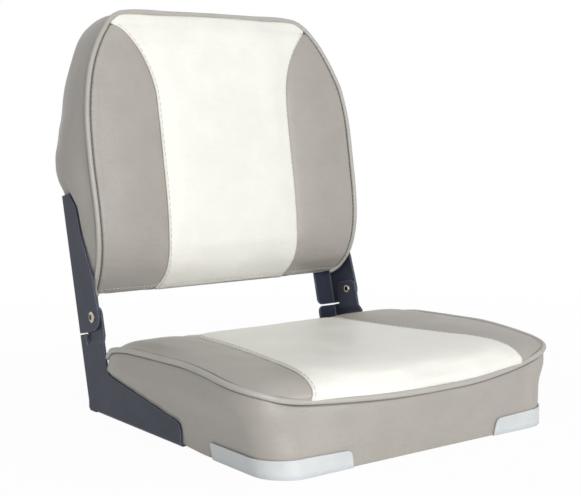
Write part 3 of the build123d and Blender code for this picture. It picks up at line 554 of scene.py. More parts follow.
# The boxing hangs from the welt to the folded edge
loop = np.vstack([rear_centre[::-1], rear_side[1:], side_line[1:], front_side[::-1][1:], front_centre[1:]])
outward = np.array([seat_welt_out[nearest(seat_edge, place)] for place in loop])
outward = unit(outward * [1, 1, 0])
foot = loop.copy()
foot[:, 0] *= base_half_width / half_width
foot[:, 1] -= stand_back(loop[:, 0]) * (loop[:, 1] < -100)
foot[:, 2] = base_z
for _ in range(6):
    foot = into_plan(foot, 1.0)
foot[[0, -1], 0] = 0
free_edge = np.where(foot[:, 1] > 120, np.abs(foot[:, 0]) < 150, foot[:, 1] < -40)
foot[:, 2] -= hem_sag * np.convolve(np.pad(free_edge.astype(float), 3, "edge"), np.ones(7) / 7, "valid")
w = boxing_shares[:, None, None]
boxing_grid = loop[None] * (1 - w) + foot[None] * w
boxing_swell = 2.5
below_welt = column_runs(boxing_grid)[0]
stand_out = off_the_welt(below_welt) + boxing_swell * np.sin(np.pi * boxing_shares)[:, None]
boxing_grid += outward[None] * stand_out[:, :, None]
boxing_grid[:, [0, -1], 0] = 0

hem_run = np.array(hem_steps)[:, None, None]
hem_grid = foot[None] - outward[None] * hem_run
hem_grid[:, :, 2] += (base_z - foot[:, 2]) * np.clip(hem_run[:, :, 0] / hem_rise, 0, 1)
hem_grid[:, [0, -1], 0] = 0

seat_rows = {}
for flip, name in ((False, "right"), (True, "left")):
    turn = mirrored if flip else np.array
    seat_rows["side_" + name] = seat_skin.add_grid("side_" + name, turn(side_grid), not flip, welt=from_welt,
                                                   grey=from_seam)
    seat_rows["centre_" + name] = seat_skin.add_grid("centre", turn(centre_grid), flip, welt=centre_from_welt,
                                                     white=centre_from_seam)
    seat_skin.add_grid("boxing", turn(boxing_grid), flip, boxing=below_welt)
    seat_skin.add_grid("boxing", turn(hem_grid), flip, hem=0.0)


# Seat cushion's stuffing
# The foam is cut larger than the sewn cover, so it presses every panel out between its seams. The cover is
# filled here as cloth under pressure, and then kept clear of the brackets and the corner protectors.
stuffing_pressure = 4.0
stuffing_frames = 20
cover_ease = 0.012                      # share by which the vinyl is cut larger, so that it puckers
seat_most_swell = 4.0                   # no point of the cover moves further than this
heights_per_swell = 16.0                # and low down only by its height divided by this
puff_height = 2.4                       # the panels stand up beside the welt, and settle over this distance
puff_fade = 22.0
blend_height = 48.0                     # above the protectors, over which the boxing swells out
bracket_sheet = 2.5
bracket_gap = 0.5
nose_height = 25.0                      # the lower bracket's side plate: its front end, its step and its post
step_height = 50.0
step_from_rear = 47.2
post_front_from_rear = 59.8
bracket_foot_y = 188.0                  # the brackets' rear edge at the base
lean_slope = 0.2512                     # rearward lean of the brackets, for each unit of height


def mesh_from(name, points, faces):
    """A mesh in metres from points in millimetres."""
    mesh = bpy.data.meshes.new(name)
    mesh.from_pydata((np.asarray(points) * mm).tolist(), [], faces)
    mesh.validate()
    return mesh


def add_object(name, mesh):
    """A mesh as an object in the scene, at the origin."""
    piece = bpy.data.objects.new(name, mesh)
    bpy.context.scene.collection.objects.link(piece)
    return piece


def points_of(mesh):
    """A mesh's points in millimetres."""
    flat = np.empty(len(mesh.vertices) * 3)
    mesh.vertices.foreach_get("co", flat)
    return flat.reshape(-1, 3) / mm


def corners_of(node):
    """Lowest and highest corner of a CAD node, in millimetres."""
    low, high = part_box(node)
    return np.array(low) / mm, np.array(high) / mm


def inflated(name, points, faces, held, most):
    """Fills a cover with pressure: its held points stay, and no point moves further than the most."""
    cover = add_object(name, mesh_from(name, points, faces))
    pins = cover.vertex_groups.new(name="sewn")
    for weight in np.unique(held[held > 0]):
        pins.add(np.flatnonzero(held == weight).tolist(), float(weight), "REPLACE")
    cloth = cover.modifiers.new("stuffing", "CLOTH")
    settings = cloth.settings
    settings.quality = 6
    settings.mass = 0.3
    settings.tension_stiffness = 15
    settings.compression_stiffness = 15
    settings.shear_stiffness = 5
    settings.bending_stiffness = 0.5
    settings.use_pressure = True
    settings.uniform_pressure_force = stuffing_pressure
    settings.shrink_min = -cover_ease
    settings.vertex_group_mass = "sewn"
    settings.effector_weights.gravity = 0
    cloth.point_cache.frame_start = 1
    cloth.point_cache.frame_end = stuffing_frames
    scene = bpy.context.scene
    for frame_number in range(1, stuffing_frames + 1):
        scene.frame_set(frame_number)
    filled = cover.evaluated_get(bpy.context.evaluated_depsgraph_get())
    moved = points_of(filled.to_mesh()) - points
    filled.to_mesh_clear()
    bpy.data.objects.remove(cover)
    scene.frame_set(1)
    moved = evened(moved, faces, held)
    size = np.linalg.norm(moved, axis=1)
    return points + moved * np.minimum(1, most / np.maximum(size, 1e-6))[:, None]


def evened(moved, faces, held, rounds=12):
    """Evens out how the cloth moved between its held points, so that its broad swell stays."""
    first = np.concatenate(faces)
    after = np.concatenate([ring[1:] + ring[:1] for ring in faces])
    count = np.bincount(first, minlength=len(moved)) + np.bincount(after, minlength=len(moved))
    for _ in range(rounds):
        total = np.zeros_like(moved)
        np.add.at(total, first, moved[after])
        np.add.at(total, after, moved[first])
        moved = (moved + total / np.maximum(count, 1)[:, None]) / 2 * (held == 0)[:, None]
    return moved


def outside_lower_bracket(y, z):
    """Distance outside the lower bracket's side plate, seen from the side; negative inside."""
    low, high = corners_of("lower_bracket_right")
    plate_slope = (step_height - nose_height) / (bracket_foot_y - step_from_rear - low[1])
    plate = np.maximum(z - nose_height - plate_slope * (y - low[1]), low[1] - y)
    post = np.maximum(bracket_foot_y - post_front_from_rear + lean_slope * z - y, z - high[2])
    return np.minimum(plate, post)


def roll_over_plate(points, distance, rise=1.6, ease=2.5):
    """Keeps a cover inside a bracket's plate, and lets it roll out again beyond the plate's edge."""
    plate_x = corners_of("lower_bracket_right")[1][0] - bracket_sheet - bracket_gap
    limit = plate_x + rise * np.maximum(0, distance - ease)
    over = np.abs(points[:, 0]) > limit
    points[over, 0] = np.sign(points[over, 0]) * limit[over]


def seam_fold(grey, white):
    """Height of the vinyl beside a lapped seam: the grey edge dips under the white one."""
    on_grey = np.interp(grey, [0, 1.2, 2.4, 4, 7, 12], [-1.1, -0.95, -0.7, -0.4, -0.15, 0])
    on_white = np.interp(white, [0, 1.2, 2.4, 3.6, 4.6, 6, 10], [-1.1, 0.5, 0.75, 0.1, 0.15, 0.3, 0])
    return np.where(white < grey, on_white, on_grey)


def on_lines(skin, names):
    """1 for the points that lie on a sewing line, 0 for all others."""
    return np.any([skin.value(name) == 0 for name in names], axis=0).astype(float)


def puffed(points, skin):
    """A filled cover with its lapped seams folded down and its panels puffed up beside the welt."""
    off_welt = skin.value("welt")
    puff = puff_height * (1 - np.exp(-off_welt / welt_rise)) * np.exp(-off_welt / puff_fade)
    puff[off_welt > 98] = 0
    fold = seam_fold(skin.value("grey"), skin.value("white"))
    return points + surface_normals(points, skin.faces) * (fold + puff)[:, None]


seat_points = np.array(seat_skin.points)
held = on_lines(seat_skin, ("welt", "boxing", "grey", "white"))
held[seat_points[:, 2] < base_z + 0.1] = 1
low_swell = np.clip(seat_points[:, 2] / heights_per_swell, 0.5, seat_most_swell)
seat_points = inflated("seat_cover_stuffing", seat_points, seat_skin.faces, held, low_swell)
seat_points = puffed(seat_points, seat_skin)

low_down = seat_points[:, 2] < guard_top + blend_height
strength = np.clip((guard_top + blend_height - seat_points[low_down, 2]) / blend_height, 0, 1)
strength = strength ** 2 * (3 - 2 * strength)
hem = seat_skin.value("hem")[low_down] == 0
strength[hem] = 0
seat_points[low_down] = into_plan(seat_points[low_down], strength)
roll_over_plate(seat_points, outside_lower_bracket(seat_points[:, 1], seat_points[:, 2]))


# Seat covers
# Three panels of expanded marine vinyl on a knitted backing, cut from sheet, and a grey boxing strip round
# the sides that is folded under the base and stapled. Each panel is a single thickness of vinyl.
vinyl_wall = 1.2

def cut_out(skin, panels, points=None, floor_z=None):
    """Numbers of the points that some panels use above a floor, and their faces numbered afresh."""
    chosen = [ring for ring, panel in zip(skin.faces, skin.panels) if panel in panels]
    if floor_z is not None:
        chosen = [ring for ring in chosen if points[ring][:, 2].max() > floor_z]
    used = sorted({number for ring in chosen for number in ring})
    renumbered = {number: k for k, number in enumerate(used)}
    return used, [[renumbered[n] for n in ring] for ring in chosen]


def thickened(piece, thickness):
    """Gives a sheet its thickness inwards."""
    thick = piece.modifiers.new("thickness", "SOLIDIFY")
    thick.thickness = thickness * mm
    thick.offset = -1
    return baked(piece)


def cover_panel(name, skin, points, panels, wall):
    """Panels of a skin as one sheet, smoothed once."""
    used, faces = cut_out(skin, panels)
    mesh = mesh_from(name, points[used], faces)
    for attribute, lines in (("to_welt", ("welt", "boxing")), ("to_lap", ("grey", "white"))):
        distance = np.min([skin.value(line, 30) for line in lines], axis=0)
        mesh.attributes.new(attribute, "FLOAT", "POINT").data.foreach_set("value", distance[used])
    piece = add_object(name, mesh)
    soft = piece.modifiers.new("soft", "SUBSURF")
    soft.levels = soft.render_levels = 1
    return thickened(piece, wall)


def baked(piece):
    """The object with its modifiers turned into plain mesh, smooth shaded."""
    evaluated = piece.evaluated_get(bpy.context.evaluated_depsgraph_get())
    mesh = bpy.data.meshes.new_from_object(evaluated)
    mesh.name = piece.name
    piece.modifiers.clear()
    piece.data = mesh
    mesh.shade_smooth()
    return piece


def vinyl(name, colours, seam_dust_and_shade, lap_dust_and_shade, wrinkle_depth):
    """Expanded marine vinyl: an embossed pebble grain, faint wrinkles, fine creases, seam puckers, and a dark
    line along the seams that is partly dust and partly painted shade.
    """
    material, tree = new_material(name)
    to_welt = add_node(tree, "ShaderNodeAttribute", {"attribute_name": "to_welt"}).outputs["Fac"]
    to_lap = add_node(tree, "ShaderNodeAttribute", {"attribute_name": "to_lap"}).outputs["Fac"]
    wander = pattern(tree, crease_size, (1, 1, 0.7), Detail=2.0).outputs[0]
    off_crease = add_node(tree, "ShaderNodeMath", {"operation": "COMPARE"}, {0: wander})
    off_crease.inputs[1].default_value = 0.5
    off_crease.inputs[2].default_value = 0.004
    creased = ranged(tree, pattern(tree, 60).outputs[0], 0.5, 0.62, 0.0, 1.0)
    creases = add_node(tree, "ShaderNodeMath", {"operation": "MULTIPLY"},
                       {0: off_crease.outputs[0], 1: creased})
    pebbles = pattern(tree, grain_size, kind="ShaderNodeTexVoronoi", Randomness=0.85).outputs["Distance"]
    clouds = pattern(tree, 38, Detail=2.0).outputs[0]
    wrinkles = pattern(tree, 17, wrinkle_stretch, Detail=2.0, Roughness=0.45).outputs[0]
    puckers = pattern(tree, pucker_size, Detail=1.0).outputs[0]
    near_seam = ranged(tree, to_welt, 1.0, pucker_reach, 1.0, 0.0)
    gathered = add_node(tree, "ShaderNodeMath", {"operation": "MULTIPLY"}, {0: puckers, 1: near_seam})
    normal = relief(tree, wrinkles, wrinkle_depth)
    normal = relief(tree, gathered.outputs[0], pucker_depth, normal)
    normal = relief(tree, creases.outputs[0], crease_depth, normal)
    normal = relief(tree, ranged(tree, pebbles, 0.15, 0.75, 1.0, 0.0), grain_depth, normal)
    shade = blended(tree, ranged(tree, clouds, 0.35, 0.65, 0.0, 1.0), linear(colours[0]), linear(colours[1]))
    shade = blended(tree, ranged(tree, pebbles, 0.45, 0.85, 0.0, 0.25), shade, linear(colours[2]))
    # Partly dust, partly painted shade: a thin dark line on the grey beside the lapped seam, where the white
    # edge laps over it
    shade = blended(tree, ranged(tree, to_lap, 0.1, 1.3, lap_dust_and_shade, 0.0), shade, linear(seam_dust_and_shade))
    # Painted shade: a wider dark band beside the welt, standing in for the shade in the valley between the
    # welt and the panel
    shade = blended(tree, ranged(tree, to_welt, 2.6, 4.8, 0.9, 0.0), shade, linear(seam_dust_and_shade))
    surfaced(tree, {"Base Color": shade, "Roughness": ranged(tree, clouds, 0.3, 0.7, 0.36, 0.47),
                    "Normal": normal}, IOR=1.5)
    return material


grain_size = 1.7                        # the real grain is 1 to 1.5 mm; drawn coarser, so that it shows
grain_depth = 0.09
wrinkle_stretch = (0.6, 0.6, 1.9)       # the wrinkles run across the panels
crease_size = 55.0
crease_depth = 0.14
pucker_size = 5.5
pucker_reach = 13.0
pucker_depth = 0.8
# Grey and white marine vinyl: a satin skin with a leather grain, drawn a little darker in the grain's
# valleys; a thin brown line along each seam is partly dust and partly painted shade, and the band beside the
# welt is painted shade
grey_vinyl = vinyl("grey marine vinyl", ("#A9A49D", "#ADA8A1", "#9A958D"), "#4F4A43", 0.35, 0.8)
white_vinyl = vinyl("white marine vinyl", ("#F3F2EA", "#F7F6EF", "#E8E5DB"), "#8A8073", 0.0, 0.7)

seat_centre = cover_panel("seat_centre_panel", seat_skin, seat_points, ["centre"], vinyl_wall)
seat_left = cover_panel("seat_left_panel", seat_skin, seat_points, ["side_left"], vinyl_wall)
seat_right = cover_panel("seat_right_panel", seat_skin, seat_points, ["side_right"], vinyl_wall)
seat_boxing = cover_panel("seat_boxing_strip", seat_skin, seat_points, ["boxing"], vinyl_wall)
for piece, node in ((seat_centre, "seat_cover_centre"), (seat_left, "seat_cover_side_left"),
                    (seat_right, "seat_cover_side_right"), (seat_boxing, "seat_cover_boxing")):
    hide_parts(node)
    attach(piece, "seat")
    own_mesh(piece)
    finished(piece, white_vinyl if piece is seat_centre else grey_vinyl)


# Welt round the seat
# A strip of the grey vinyl sewn round a plastic cord and caught in the seam between the top and the boxing.
welt_radius = 3.0
welt_cord_radius = 1.9
welt_sides = 14
gather_share = 0.022                    # unevenness of its radius
cord_clearance = 0.02                   # between the cord and the vinyl round it

def rod(line, outward, radii, closed):
    """Rings round a line: points and quads, with the first side of each ring facing outwards."""
    count = len(line)
    if closed:
        along = unit(np.roll(line, -1, axis=0) - np.roll(line, 1, axis=0))
    else:
        along = unit(np.gradient(line, axis=0))
    out = unit(outward - along * (outward * along).sum(1)[:, None])
    side = np.cross(along, out)
    angles = np.linspace(0, 2 * np.pi, welt_sides, endpoint=False)
    ring = np.cos(angles)[None, :, None] * out[:, None] + np.sin(angles)[None, :, None] * side[:, None]
    points = (line[:, None] + ring * np.asarray(radii).reshape(-1, 1, 1)).reshape(-1, 3)
    faces = []
    for k in range(count if closed else count - 1):
        for s in range(welt_sides):
            a, b = k * welt_sides + s, k * welt_sides + (s + 1) % welt_sides
            after = (k + 1) % count
            faces.append([a, b, after * welt_sides + (s + 1) % welt_sides, after * welt_sides + s])
    return points, faces


def gathered_radii(line, radius, seed):
    """The radius along a welt, a little uneven where the stitches draw it in."""
    noise = np.random.default_rng(seed).normal(0, 1, len(line) + 24)
    noise = np.convolve(noise, np.ones(7) / 7, "same")[12:-12]
    return radius * (1 + gather_share * noise)


def welt_piece(name, line, outward, radius, bore, closed, seed):
    """A hollow welt, or a solid cord where the bore is zero."""
    points, faces = rod(line, outward, gathered_radii(line, radius, seed), closed)
    count = len(line)
    if bore:
        inner, inner_faces = rod(line, outward, np.full(count, bore), closed)
        faces = faces + [[n + len(points) for n in ring[::-1]] for ring in inner_faces]
    if not closed:
        for k, end in ((0, 0), (count - 1, 1)):
            first = [k * welt_sides + s for s in range(welt_sides)]
            if bore:
                for s in range(welt_sides):
                    t = (s + 1) % welt_sides
                    ring = [first[s], first[s] + len(points), first[t] + len(points), first[t]]
                    faces.append(ring if end == 0 else ring[::-1])
            else:
                faces.append(first[::-1] if end == 0 else first)
    if bore:
        points = np.vstack([points, inner])
    mesh = mesh_from(name, points, faces)
    sewn = bmesh.new()
    sewn.from_mesh(mesh)
    bmesh.ops.recalc_face_normals(sewn, faces=sewn.faces)
    sewn.to_mesh(mesh)
    sewn.free()
    mesh.shade_smooth()
    return add_object(name, mesh)


whole_welt = np.vstack([seat_welt, mirrored(seat_welt)[-2:0:-1]])
whole_out = np.vstack([seat_welt_out, mirrored(seat_welt_out)[-2:0:-1]])
whole_welt, whole_out = whole_welt[::3], whole_out[::3]
# Welt vinyl: the same vinyl, stretched tight over the cord, so its grain is flatter and a little glossier
welt_vinyl, tree = new_material("welt vinyl")
pebbles = pattern(tree, grain_size, kind="ShaderNodeTexVoronoi").outputs["Distance"]
gathers = pattern(tree, 4.5, Detail=1.0).outputs[0]
shade = blended(tree, pattern(tree, 30).outputs[0], linear("#AFACA6"), linear("#B9B6B0"))
normal = relief(tree, gathers, 0.35)
surfaced(tree, {"Base Color": shade, "Roughness": ranged(tree, gathers, 0.3, 0.7, 0.33, 0.43),
                "Normal": relief(tree, ranged(tree, pebbles, 0.15, 0.75, 1.0, 0.0), 0.05, normal)}, IOR=1.5)
# Extruded polyethylene cord: milky white and waxy
welt_cord_plastic = grained("extruded polyethylene", 2.0, 2.0, ("#DCDCD8", "#E8E8E4"), (0.4, 0.5), 0.04,
                            IOR=1.51)
seat_welt_piece = welt_piece("seat_welt", whole_welt, whole_out, welt_radius, welt_cord_radius, True, 3)
seat_cord_piece = welt_piece("seat_welt_cord", whole_welt, whole_out, welt_cord_radius - cord_clearance, 0,
                             True, 4)
for piece, node, finish in ((seat_welt_piece, "seat_piping", "piping_vinyl"),
                            (seat_cord_piece, "seat_piping_cord", "piping_core")):
    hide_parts(node)
    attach(piece, "seat")
    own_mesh(piece)
    finished(piece, welt_vinyl if piece is seat_welt_piece else welt_cord_plastic)


# Seat stitches
# The white panel laps over each grey one and is topstitched along its edge in white thread. A dark stitch
# shows on the grey panels beside the welt at the front corners, where it was sewn in.
topstitch_from_seam = 3.7
topstitch_pitch = 7.5
topstitch_length = 6.4
thread_radius = 0.42
welt_stitch_from_welt = 4.6
welt_stitch_pitch = 5.6
welt_stitch_length = 3.9

def stitch_tree():
    """Stitches along lines: short threads that point along the line, one in each pitch."""
    tree = bpy.data.node_groups.new("stitches", "GeometryNodeTree")
    sockets = tree.interface
    sockets.new_socket("Lines", in_out="INPUT", socket_type="NodeSocketGeometry")
    for name in ("Pitch", "Stitch length", "Thread radius"):
        sockets.new_socket(name, in_out="INPUT", socket_type="NodeSocketFloat")
    sockets.new_socket("Thread", in_out="INPUT", socket_type="NodeSocketMaterial")
    sockets.new_socket("Stitches", in_out="OUTPUT", socket_type="NodeSocketGeometry")
    given = add_node(tree, "NodeGroupInput").outputs
    curve = add_node(tree, "GeometryNodeMeshToCurve", None, {"Mesh": given["Lines"]})
    places = add_node(tree, "GeometryNodeResampleCurve", {"mode": "LENGTH"},
                      {"Curve": curve.outputs[0], "Length": given["Pitch"]})
    direction = add_node(tree, "GeometryNodeInputTangent")
    turn = add_node(tree, "FunctionNodeAlignRotationToVector", {"axis": "X"},
                    {"Vector": direction.outputs[0]})
    half_length = add_node(tree, "ShaderNodeMath", {"operation": "DIVIDE"}, {0: given["Stitch length"]})
    half_length.inputs[1].default_value = 2.0
    size = add_node(tree, "ShaderNodeCombineXYZ", None,
                    {"X": half_length.outputs[0], "Y": given["Thread radius"], "Z": given["Thread radius"]})
    thread = add_node(tree, "GeometryNodeMeshUVSphere", None, None, Segments=8, Rings=6)
    laid = add_node(tree, "GeometryNodeInstanceOnPoints", None,
                    {"Points": places.outputs[0], "Instance": thread.outputs[0], "Rotation": turn.outputs[0],
                     "Scale": size.outputs[0]})
    real = add_node(tree, "GeometryNodeRealizeInstances", None, {"Geometry": laid.outputs[0]})
    dyed = add_node(tree, "GeometryNodeSetMaterial", None,
                    {"Geometry": real.outputs[0], "Material": given["Thread"]})
    add_node(tree, "NodeGroupOutput", None, {"Stitches": dyed.outputs[0]})
    return tree


def sewn_along(name, lines, pitch, length, thread):
    """A mesh of stitches along lines of points."""
    points = np.vstack(lines)
    ends = np.cumsum([len(line) for line in lines])
    edges = [(k, k + 1) for k in range(len(points) - 1) if k + 1 not in ends]
    mesh = bpy.data.meshes.new(name)
    mesh.from_pydata((points * mm).tolist(), edges, [])
    piece = add_object(name, mesh)
    sewing = piece.modifiers.new("stitches", "NODES")
    sewing.node_group = stitching
    values = {"Pitch": pitch * mm, "Stitch length": length * mm, "Thread radius": thread_radius * mm,
              "Thread": thread}
    for socket in stitching.interface.items_tree:
        if socket.in_out == "INPUT" and socket.name in values:
            sewing[socket.identifier] = values[socket.name]
    return baked(piece)


def line_beside(points, normals, numbers, distance, lift=0.45):
    """A line over a panel, at a distance from the first column of its grid."""
    grid = points[numbers] + normals[numbers] * lift
    run = row_runs(grid)[0]
    return np.array([[np.interp(distance, run[r], grid[r, :, axis]) for axis in range(3)]
                     for r in range(len(grid))])


def thread_of(name, colours):
    """Bonded polyester thread: twisted, with a slight sheen; the twist is drawn at 0.8 mm."""
    return grained(name, 0.8, 1.0, colours, (0.45, 0.6), 0.05)


stitching = stitch_tree()
# The white thread is drawn greyer than the white vinyl, so that the stitches show as dark dashes: painted
# shade of their grooves
white_thread = thread_of("white polyester thread", ("#CFCBBE", "#E0DCD1"))
dark_thread = thread_of("dark polyester thread", ("#75706A", "#878179"))
seat_normals = surface_normals(seat_points, seat_skin.faces)
seat_top_lines = [line_beside(seat_points, seat_normals, seat_rows["centre_" + side],
                              topstitch_from_seam)[2:-2] for side in ("left", "right")]
seat_topstitch = sewn_along("seat_topstitch", seat_top_lines, topstitch_pitch, topstitch_length, white_thread)
front_lines = []
for side in ("left", "right"):
    from_front = seat_rows["side_" + side].T[:, ::-1]
    front_lines.append(line_beside(seat_points, seat_normals, from_front, welt_stitch_from_welt, 0.3)[1:-3])
seat_welt_stitch = sewn_along("seat_welt_stitch", front_lines, welt_stitch_pitch, welt_stitch_length,
                              dark_thread)
for piece, finish in ((seat_topstitch, "white_vinyl"), (seat_welt_stitch, "grey_vinyl")):
    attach(piece, "seat")
    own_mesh(piece)


# Seat foam
# A block of polyurethane foam that fills the cover above the moulded pan. It is a little larger than the
# cover, so it takes the cover's form.
pan_top = 15.7
foam_depth = 1.35                       # below the cover's outer face, just under the vinyl
seam_allowance = 1.8                    # deeper at the seams, where the vinyl is folded
allowance_fade = 3.0

def foam_piece(name, skin, points, panels, floor_z):
    """A closed block just inside the covers, with a flat underside."""
    used, faces = cut_out(skin, panels, points, floor_z)
    seam_gap = np.min([skin.value(line, 30) for line in ("welt", "grey", "white", "boxing", "rear")], axis=0)
    depth = foam_depth + seam_allowance * np.exp(-seam_gap[used] / allowance_fade)
    inner = points[used] - surface_normals(points, skin.faces)[used] * depth[:, None]
    inner[:, 2] = np.maximum(inner[:, 2], floor_z)
    mesh = mesh_from(name, inner, faces)
    block = bmesh.new()
    block.from_mesh(mesh)
    bmesh.ops.remove_doubles(block, verts=block.verts, dist=0.05 * mm)
    open_edges = [edge for edge in block.edges if edge.is_boundary]
    bmesh.ops.contextual_create(block, geom=open_edges)
    bmesh.ops.recalc_face_normals(block, faces=block.faces)
    block.to_mesh(mesh)
    block.free()
    mesh.shade_smooth()
    return add_object(name, mesh)


# Polyurethane foam: pale yellow, matt, with open cells
foam_rubber, tree = new_material("polyurethane foam")
cells = pattern(tree, 1.6, kind="ShaderNodeTexVoronoi").outputs["Distance"]
surfaced(tree, {"Base Color": blended(tree, ranged(tree, cells, 0.1, 0.7, 0.0, 1.0), linear("#B9A56C"),
                                      linear("#E9DBA6")),
                "Roughness": ranged(tree, cells, 0.1, 0.7, 0.95, 0.8), "Normal": relief(tree, cells, 0.4)})
seat_foam = foam_piece("seat_foam_block", seat_skin, seat_points,
                       ["centre", "side_left", "side_right", "boxing"], pan_top)
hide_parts("seat_foam")
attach(seat_foam, "seat")
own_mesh(seat_foam)
finished(seat_foam, foam_rubber)


# Staples
# Galvanised wire staples, shot through the folded edge of the cover into the pan.

# Drawn galvanised wire: a grey metal with faint lines along it
zinc_wire = grained("galvanised wire", 0.9, 3.0, ("#9A9C9E", "#BFC1C2"), (0.3, 0.48), 0.02, Metallic=1.0)
finished(nodes["seat_staples"], zinc_wire)


# Corner protectors
# Two guards of milky PVC, moulded to the front bottom corners, that keep them from scuffing. Their outer
# faces are bare.

# Plasticised PVC: milky, a soft gloss, with faint flow marks; bluish towards its lower edge
milky_pvc, tree = new_material("plasticised milky PVC")
flow = pattern(tree, 40, (0.6, 0.6, 1.5)).outputs[0]
height = add_node(tree, "ShaderNodeSeparateXYZ", None,
                  {0: add_node(tree, "ShaderNodeTexCoord").outputs["Object"]}).outputs["Z"]
cloud = blended(tree, ranged(tree, flow, 0.35, 0.65, 0.0, 1.0), linear("#CCD0D2"), linear("#D3D6D7"))
cloud = blended(tree, ranged(tree, height, 0.0, 6 * mm, 0.6, 0.0), cloud, linear("#AEB8C1"))
surfaced(tree, {"Base Color": cloud, "Roughness": ranged(tree, flow, 0.3, 0.7, 0.2, 0.34),
                "Normal": relief(tree, flow, 0.04)}, IOR=1.53)
for side in ("left", "right"):
    finished(nodes["corner_protector_" + side], milky_pvc)


# Lower brackets
# Pressed steel side plates with a rear and a bottom flange, and a joggled ear for the pivot. They are
# powder coated dark grey after pressing.
powder_colours = ("#343848", "#3C4050")
edge_highlight_colour = "#A0A8B8"                 # painted highlight along the sheet's edges and in its bends
edge_round = 2.0

# Powder coated steel: satin, with the fine orange peel of baked powder, which is about 1 mm across, and a
# painted highlight along its edges and bends
powder_coat, tree = new_material("powder coated steel")
peel = pattern(tree, 1.5, Detail=2.0).outputs[0]
tone = pattern(tree, 30, Detail=2.0).outputs[0]
rounded = add_node(tree, "ShaderNodeBevel", {"samples": 4}, None, Radius=edge_round * mm)
flat_normal = add_node(tree, "ShaderNodeNewGeometry").outputs["Normal"]
bend = add_node(tree, "ShaderNodeVectorMath", {"operation": "DOT_PRODUCT"},
                {0: rounded.outputs[0], 1: flat_normal}).outputs["Value"]
coat = blended(tree, ranged(tree, tone, 0.3, 0.7, 0.0, 1.0), linear(powder_colours[0]),
               linear(powder_colours[1]))
# Painted highlight: light bluish grey where the rounded normal turns away from the flat one, on the sheet's
# edges and in the bends
coat = blended(tree, ranged(tree, bend, 0.8, 0.99, 0.75, 0.0), coat, linear(edge_highlight_colour))
paint = surfaced(tree, {"Base Color": coat, "Roughness": ranged(tree, peel, 0.3, 0.7, 0.36, 0.48),
                        "Normal": relief(tree, peel, 0.05, rounded.outputs[0])}, IOR=1.5)
paint.inputs["Specular IOR Level"].default_value = 0.22
for side in ("left", "right"):
    finished(nodes["lower_bracket_" + side], powder_coat)


# Lower bracket screws
# Countersunk stainless screws that hold the bottom flanges up against the pan.

# Stainless steel: bright, with the fine rings and marks of cold heading
stainless = grained("stainless steel", 0.7, 4.0, ("#A8A8A6", "#C6C6C4"), (0.24, 0.4), 0.015, Metallic=1.0)
finished(nodes["lower_bracket_screws"], stainless)


# Pivot washers
# Thin nylon washers that keep the two painted leaves apart.

# Natural nylon: off-white and waxy
nylon = grained("natural nylon", 1.2, 2.0, ("#D9D5C6", "#E6E3D6"), (0.38, 0.5), 0.03, IOR=1.53)
for side in ("left", "right"):
    finished(nodes["pivot_washer_" + side], nylon)


# Pivot rivets
# Nickel plated tubular rivets, the hinge pins. Each head has a shallow dimple from the riveting tool, drawn
# dark brown.
rivet_dimple = 3.6
rivet_low, rivet_high = corners_of("pivot_rivet_right")
rivet_middle = (rivet_low + rivet_high) / 2

# Nickel plate: a warm bright metal with small scratches; dark brown in the dimple
nickel, tree = new_material("nickel plated steel")
from_axis = add_node(tree, "ShaderNodeMapping", None,
                     {"Vector": add_node(tree, "ShaderNodeTexCoord").outputs["Object"]}, Scale=(0, 1, 1),
                     Location=(0, -rivet_middle[1] * mm, -rivet_middle[2] * mm))
radius = add_node(tree, "ShaderNodeVectorMath", {"operation": "LENGTH"}, {0: from_axis.outputs[0]})
in_dimple = ranged(tree, radius.outputs["Value"], (rivet_dimple - 0.5) * mm, rivet_dimple * mm, 1.0, 0.0)
scratches = pattern(tree, 0.8, (1, 1, 3), Detail=4.0).outputs[0]
plate = blended(tree, scratches, linear("#B3A999"), linear("#CCC3B5"))
surfaced(tree, {"Base Color": blended(tree, in_dimple, plate, linear("#4A3A2C")),
                "Roughness": ranged(tree, scratches, 0.3, 0.7, 0.3, 0.46),
                "Normal": relief(tree, scratches, 0.02)}, Metallic=1.0)
for side in ("left", "right"):
    finished(nodes["pivot_rivet_" + side], nickel)


# Upper brackets and their screws
# The leaves that turn on the rivets, pressed and coated like the lower ones, and the round-head stainless
# screws that hold them to the backrest's board.
for side in ("left", "right"):
    finished(nodes["upper_bracket_" + side], powder_coat)
finished(nodes["upper_bracket_screws"], stainless)


# Backrest inserts
# Brass inserts in the backrest's board, for the bracket screws.
finished(nodes["back_board_inserts"], turned_brass)


# Backrest's sewing lines
# The backrest is a foam pad on a stiff board, under a cover with two seams that flare out to the welt at the
# shoulders. The welt runs up from the bottom corners and over the top; along the bottom the front panels
# are folded under instead.
back_base_z = 135.5
back_hem_y = 200.5                      # folded front edge along the bottom
# From the right bottom corner up to the shoulder and over the top to its middle
back_welt_points = [(179, 198.5, 136.2), (184.3, 193.5, 140), (187.6, 187.5, 146), (189.5, 181, 154),
                    (190.9, 174.5, 164), (192, 168.5, 178), (193, 164.6, 196), (194, 163.6, 218),
                    (194.7, 165.8, 241), (195.4, 169.5, 263), (196, 174, 286), (196.1, 178, 309),
                    (195.8, 181.7, 331), (194.6, 185.2, 350), (192.2, 188.8, 368), (188.6, 192.6, 386),
                    (182.8, 198.2, 404), (176, 202.6, 420), (168.6, 206.4, 434), (162.6, 209, 443.5),
                    (156, 211.6, 452), (149, 214.6, 460.7), (140.5, 217.4, 467.6), (131.5, 218.8, 471.8),
                    (122, 219, 473.2), (60, 219, 474.3), (0, 219, 474.8)]
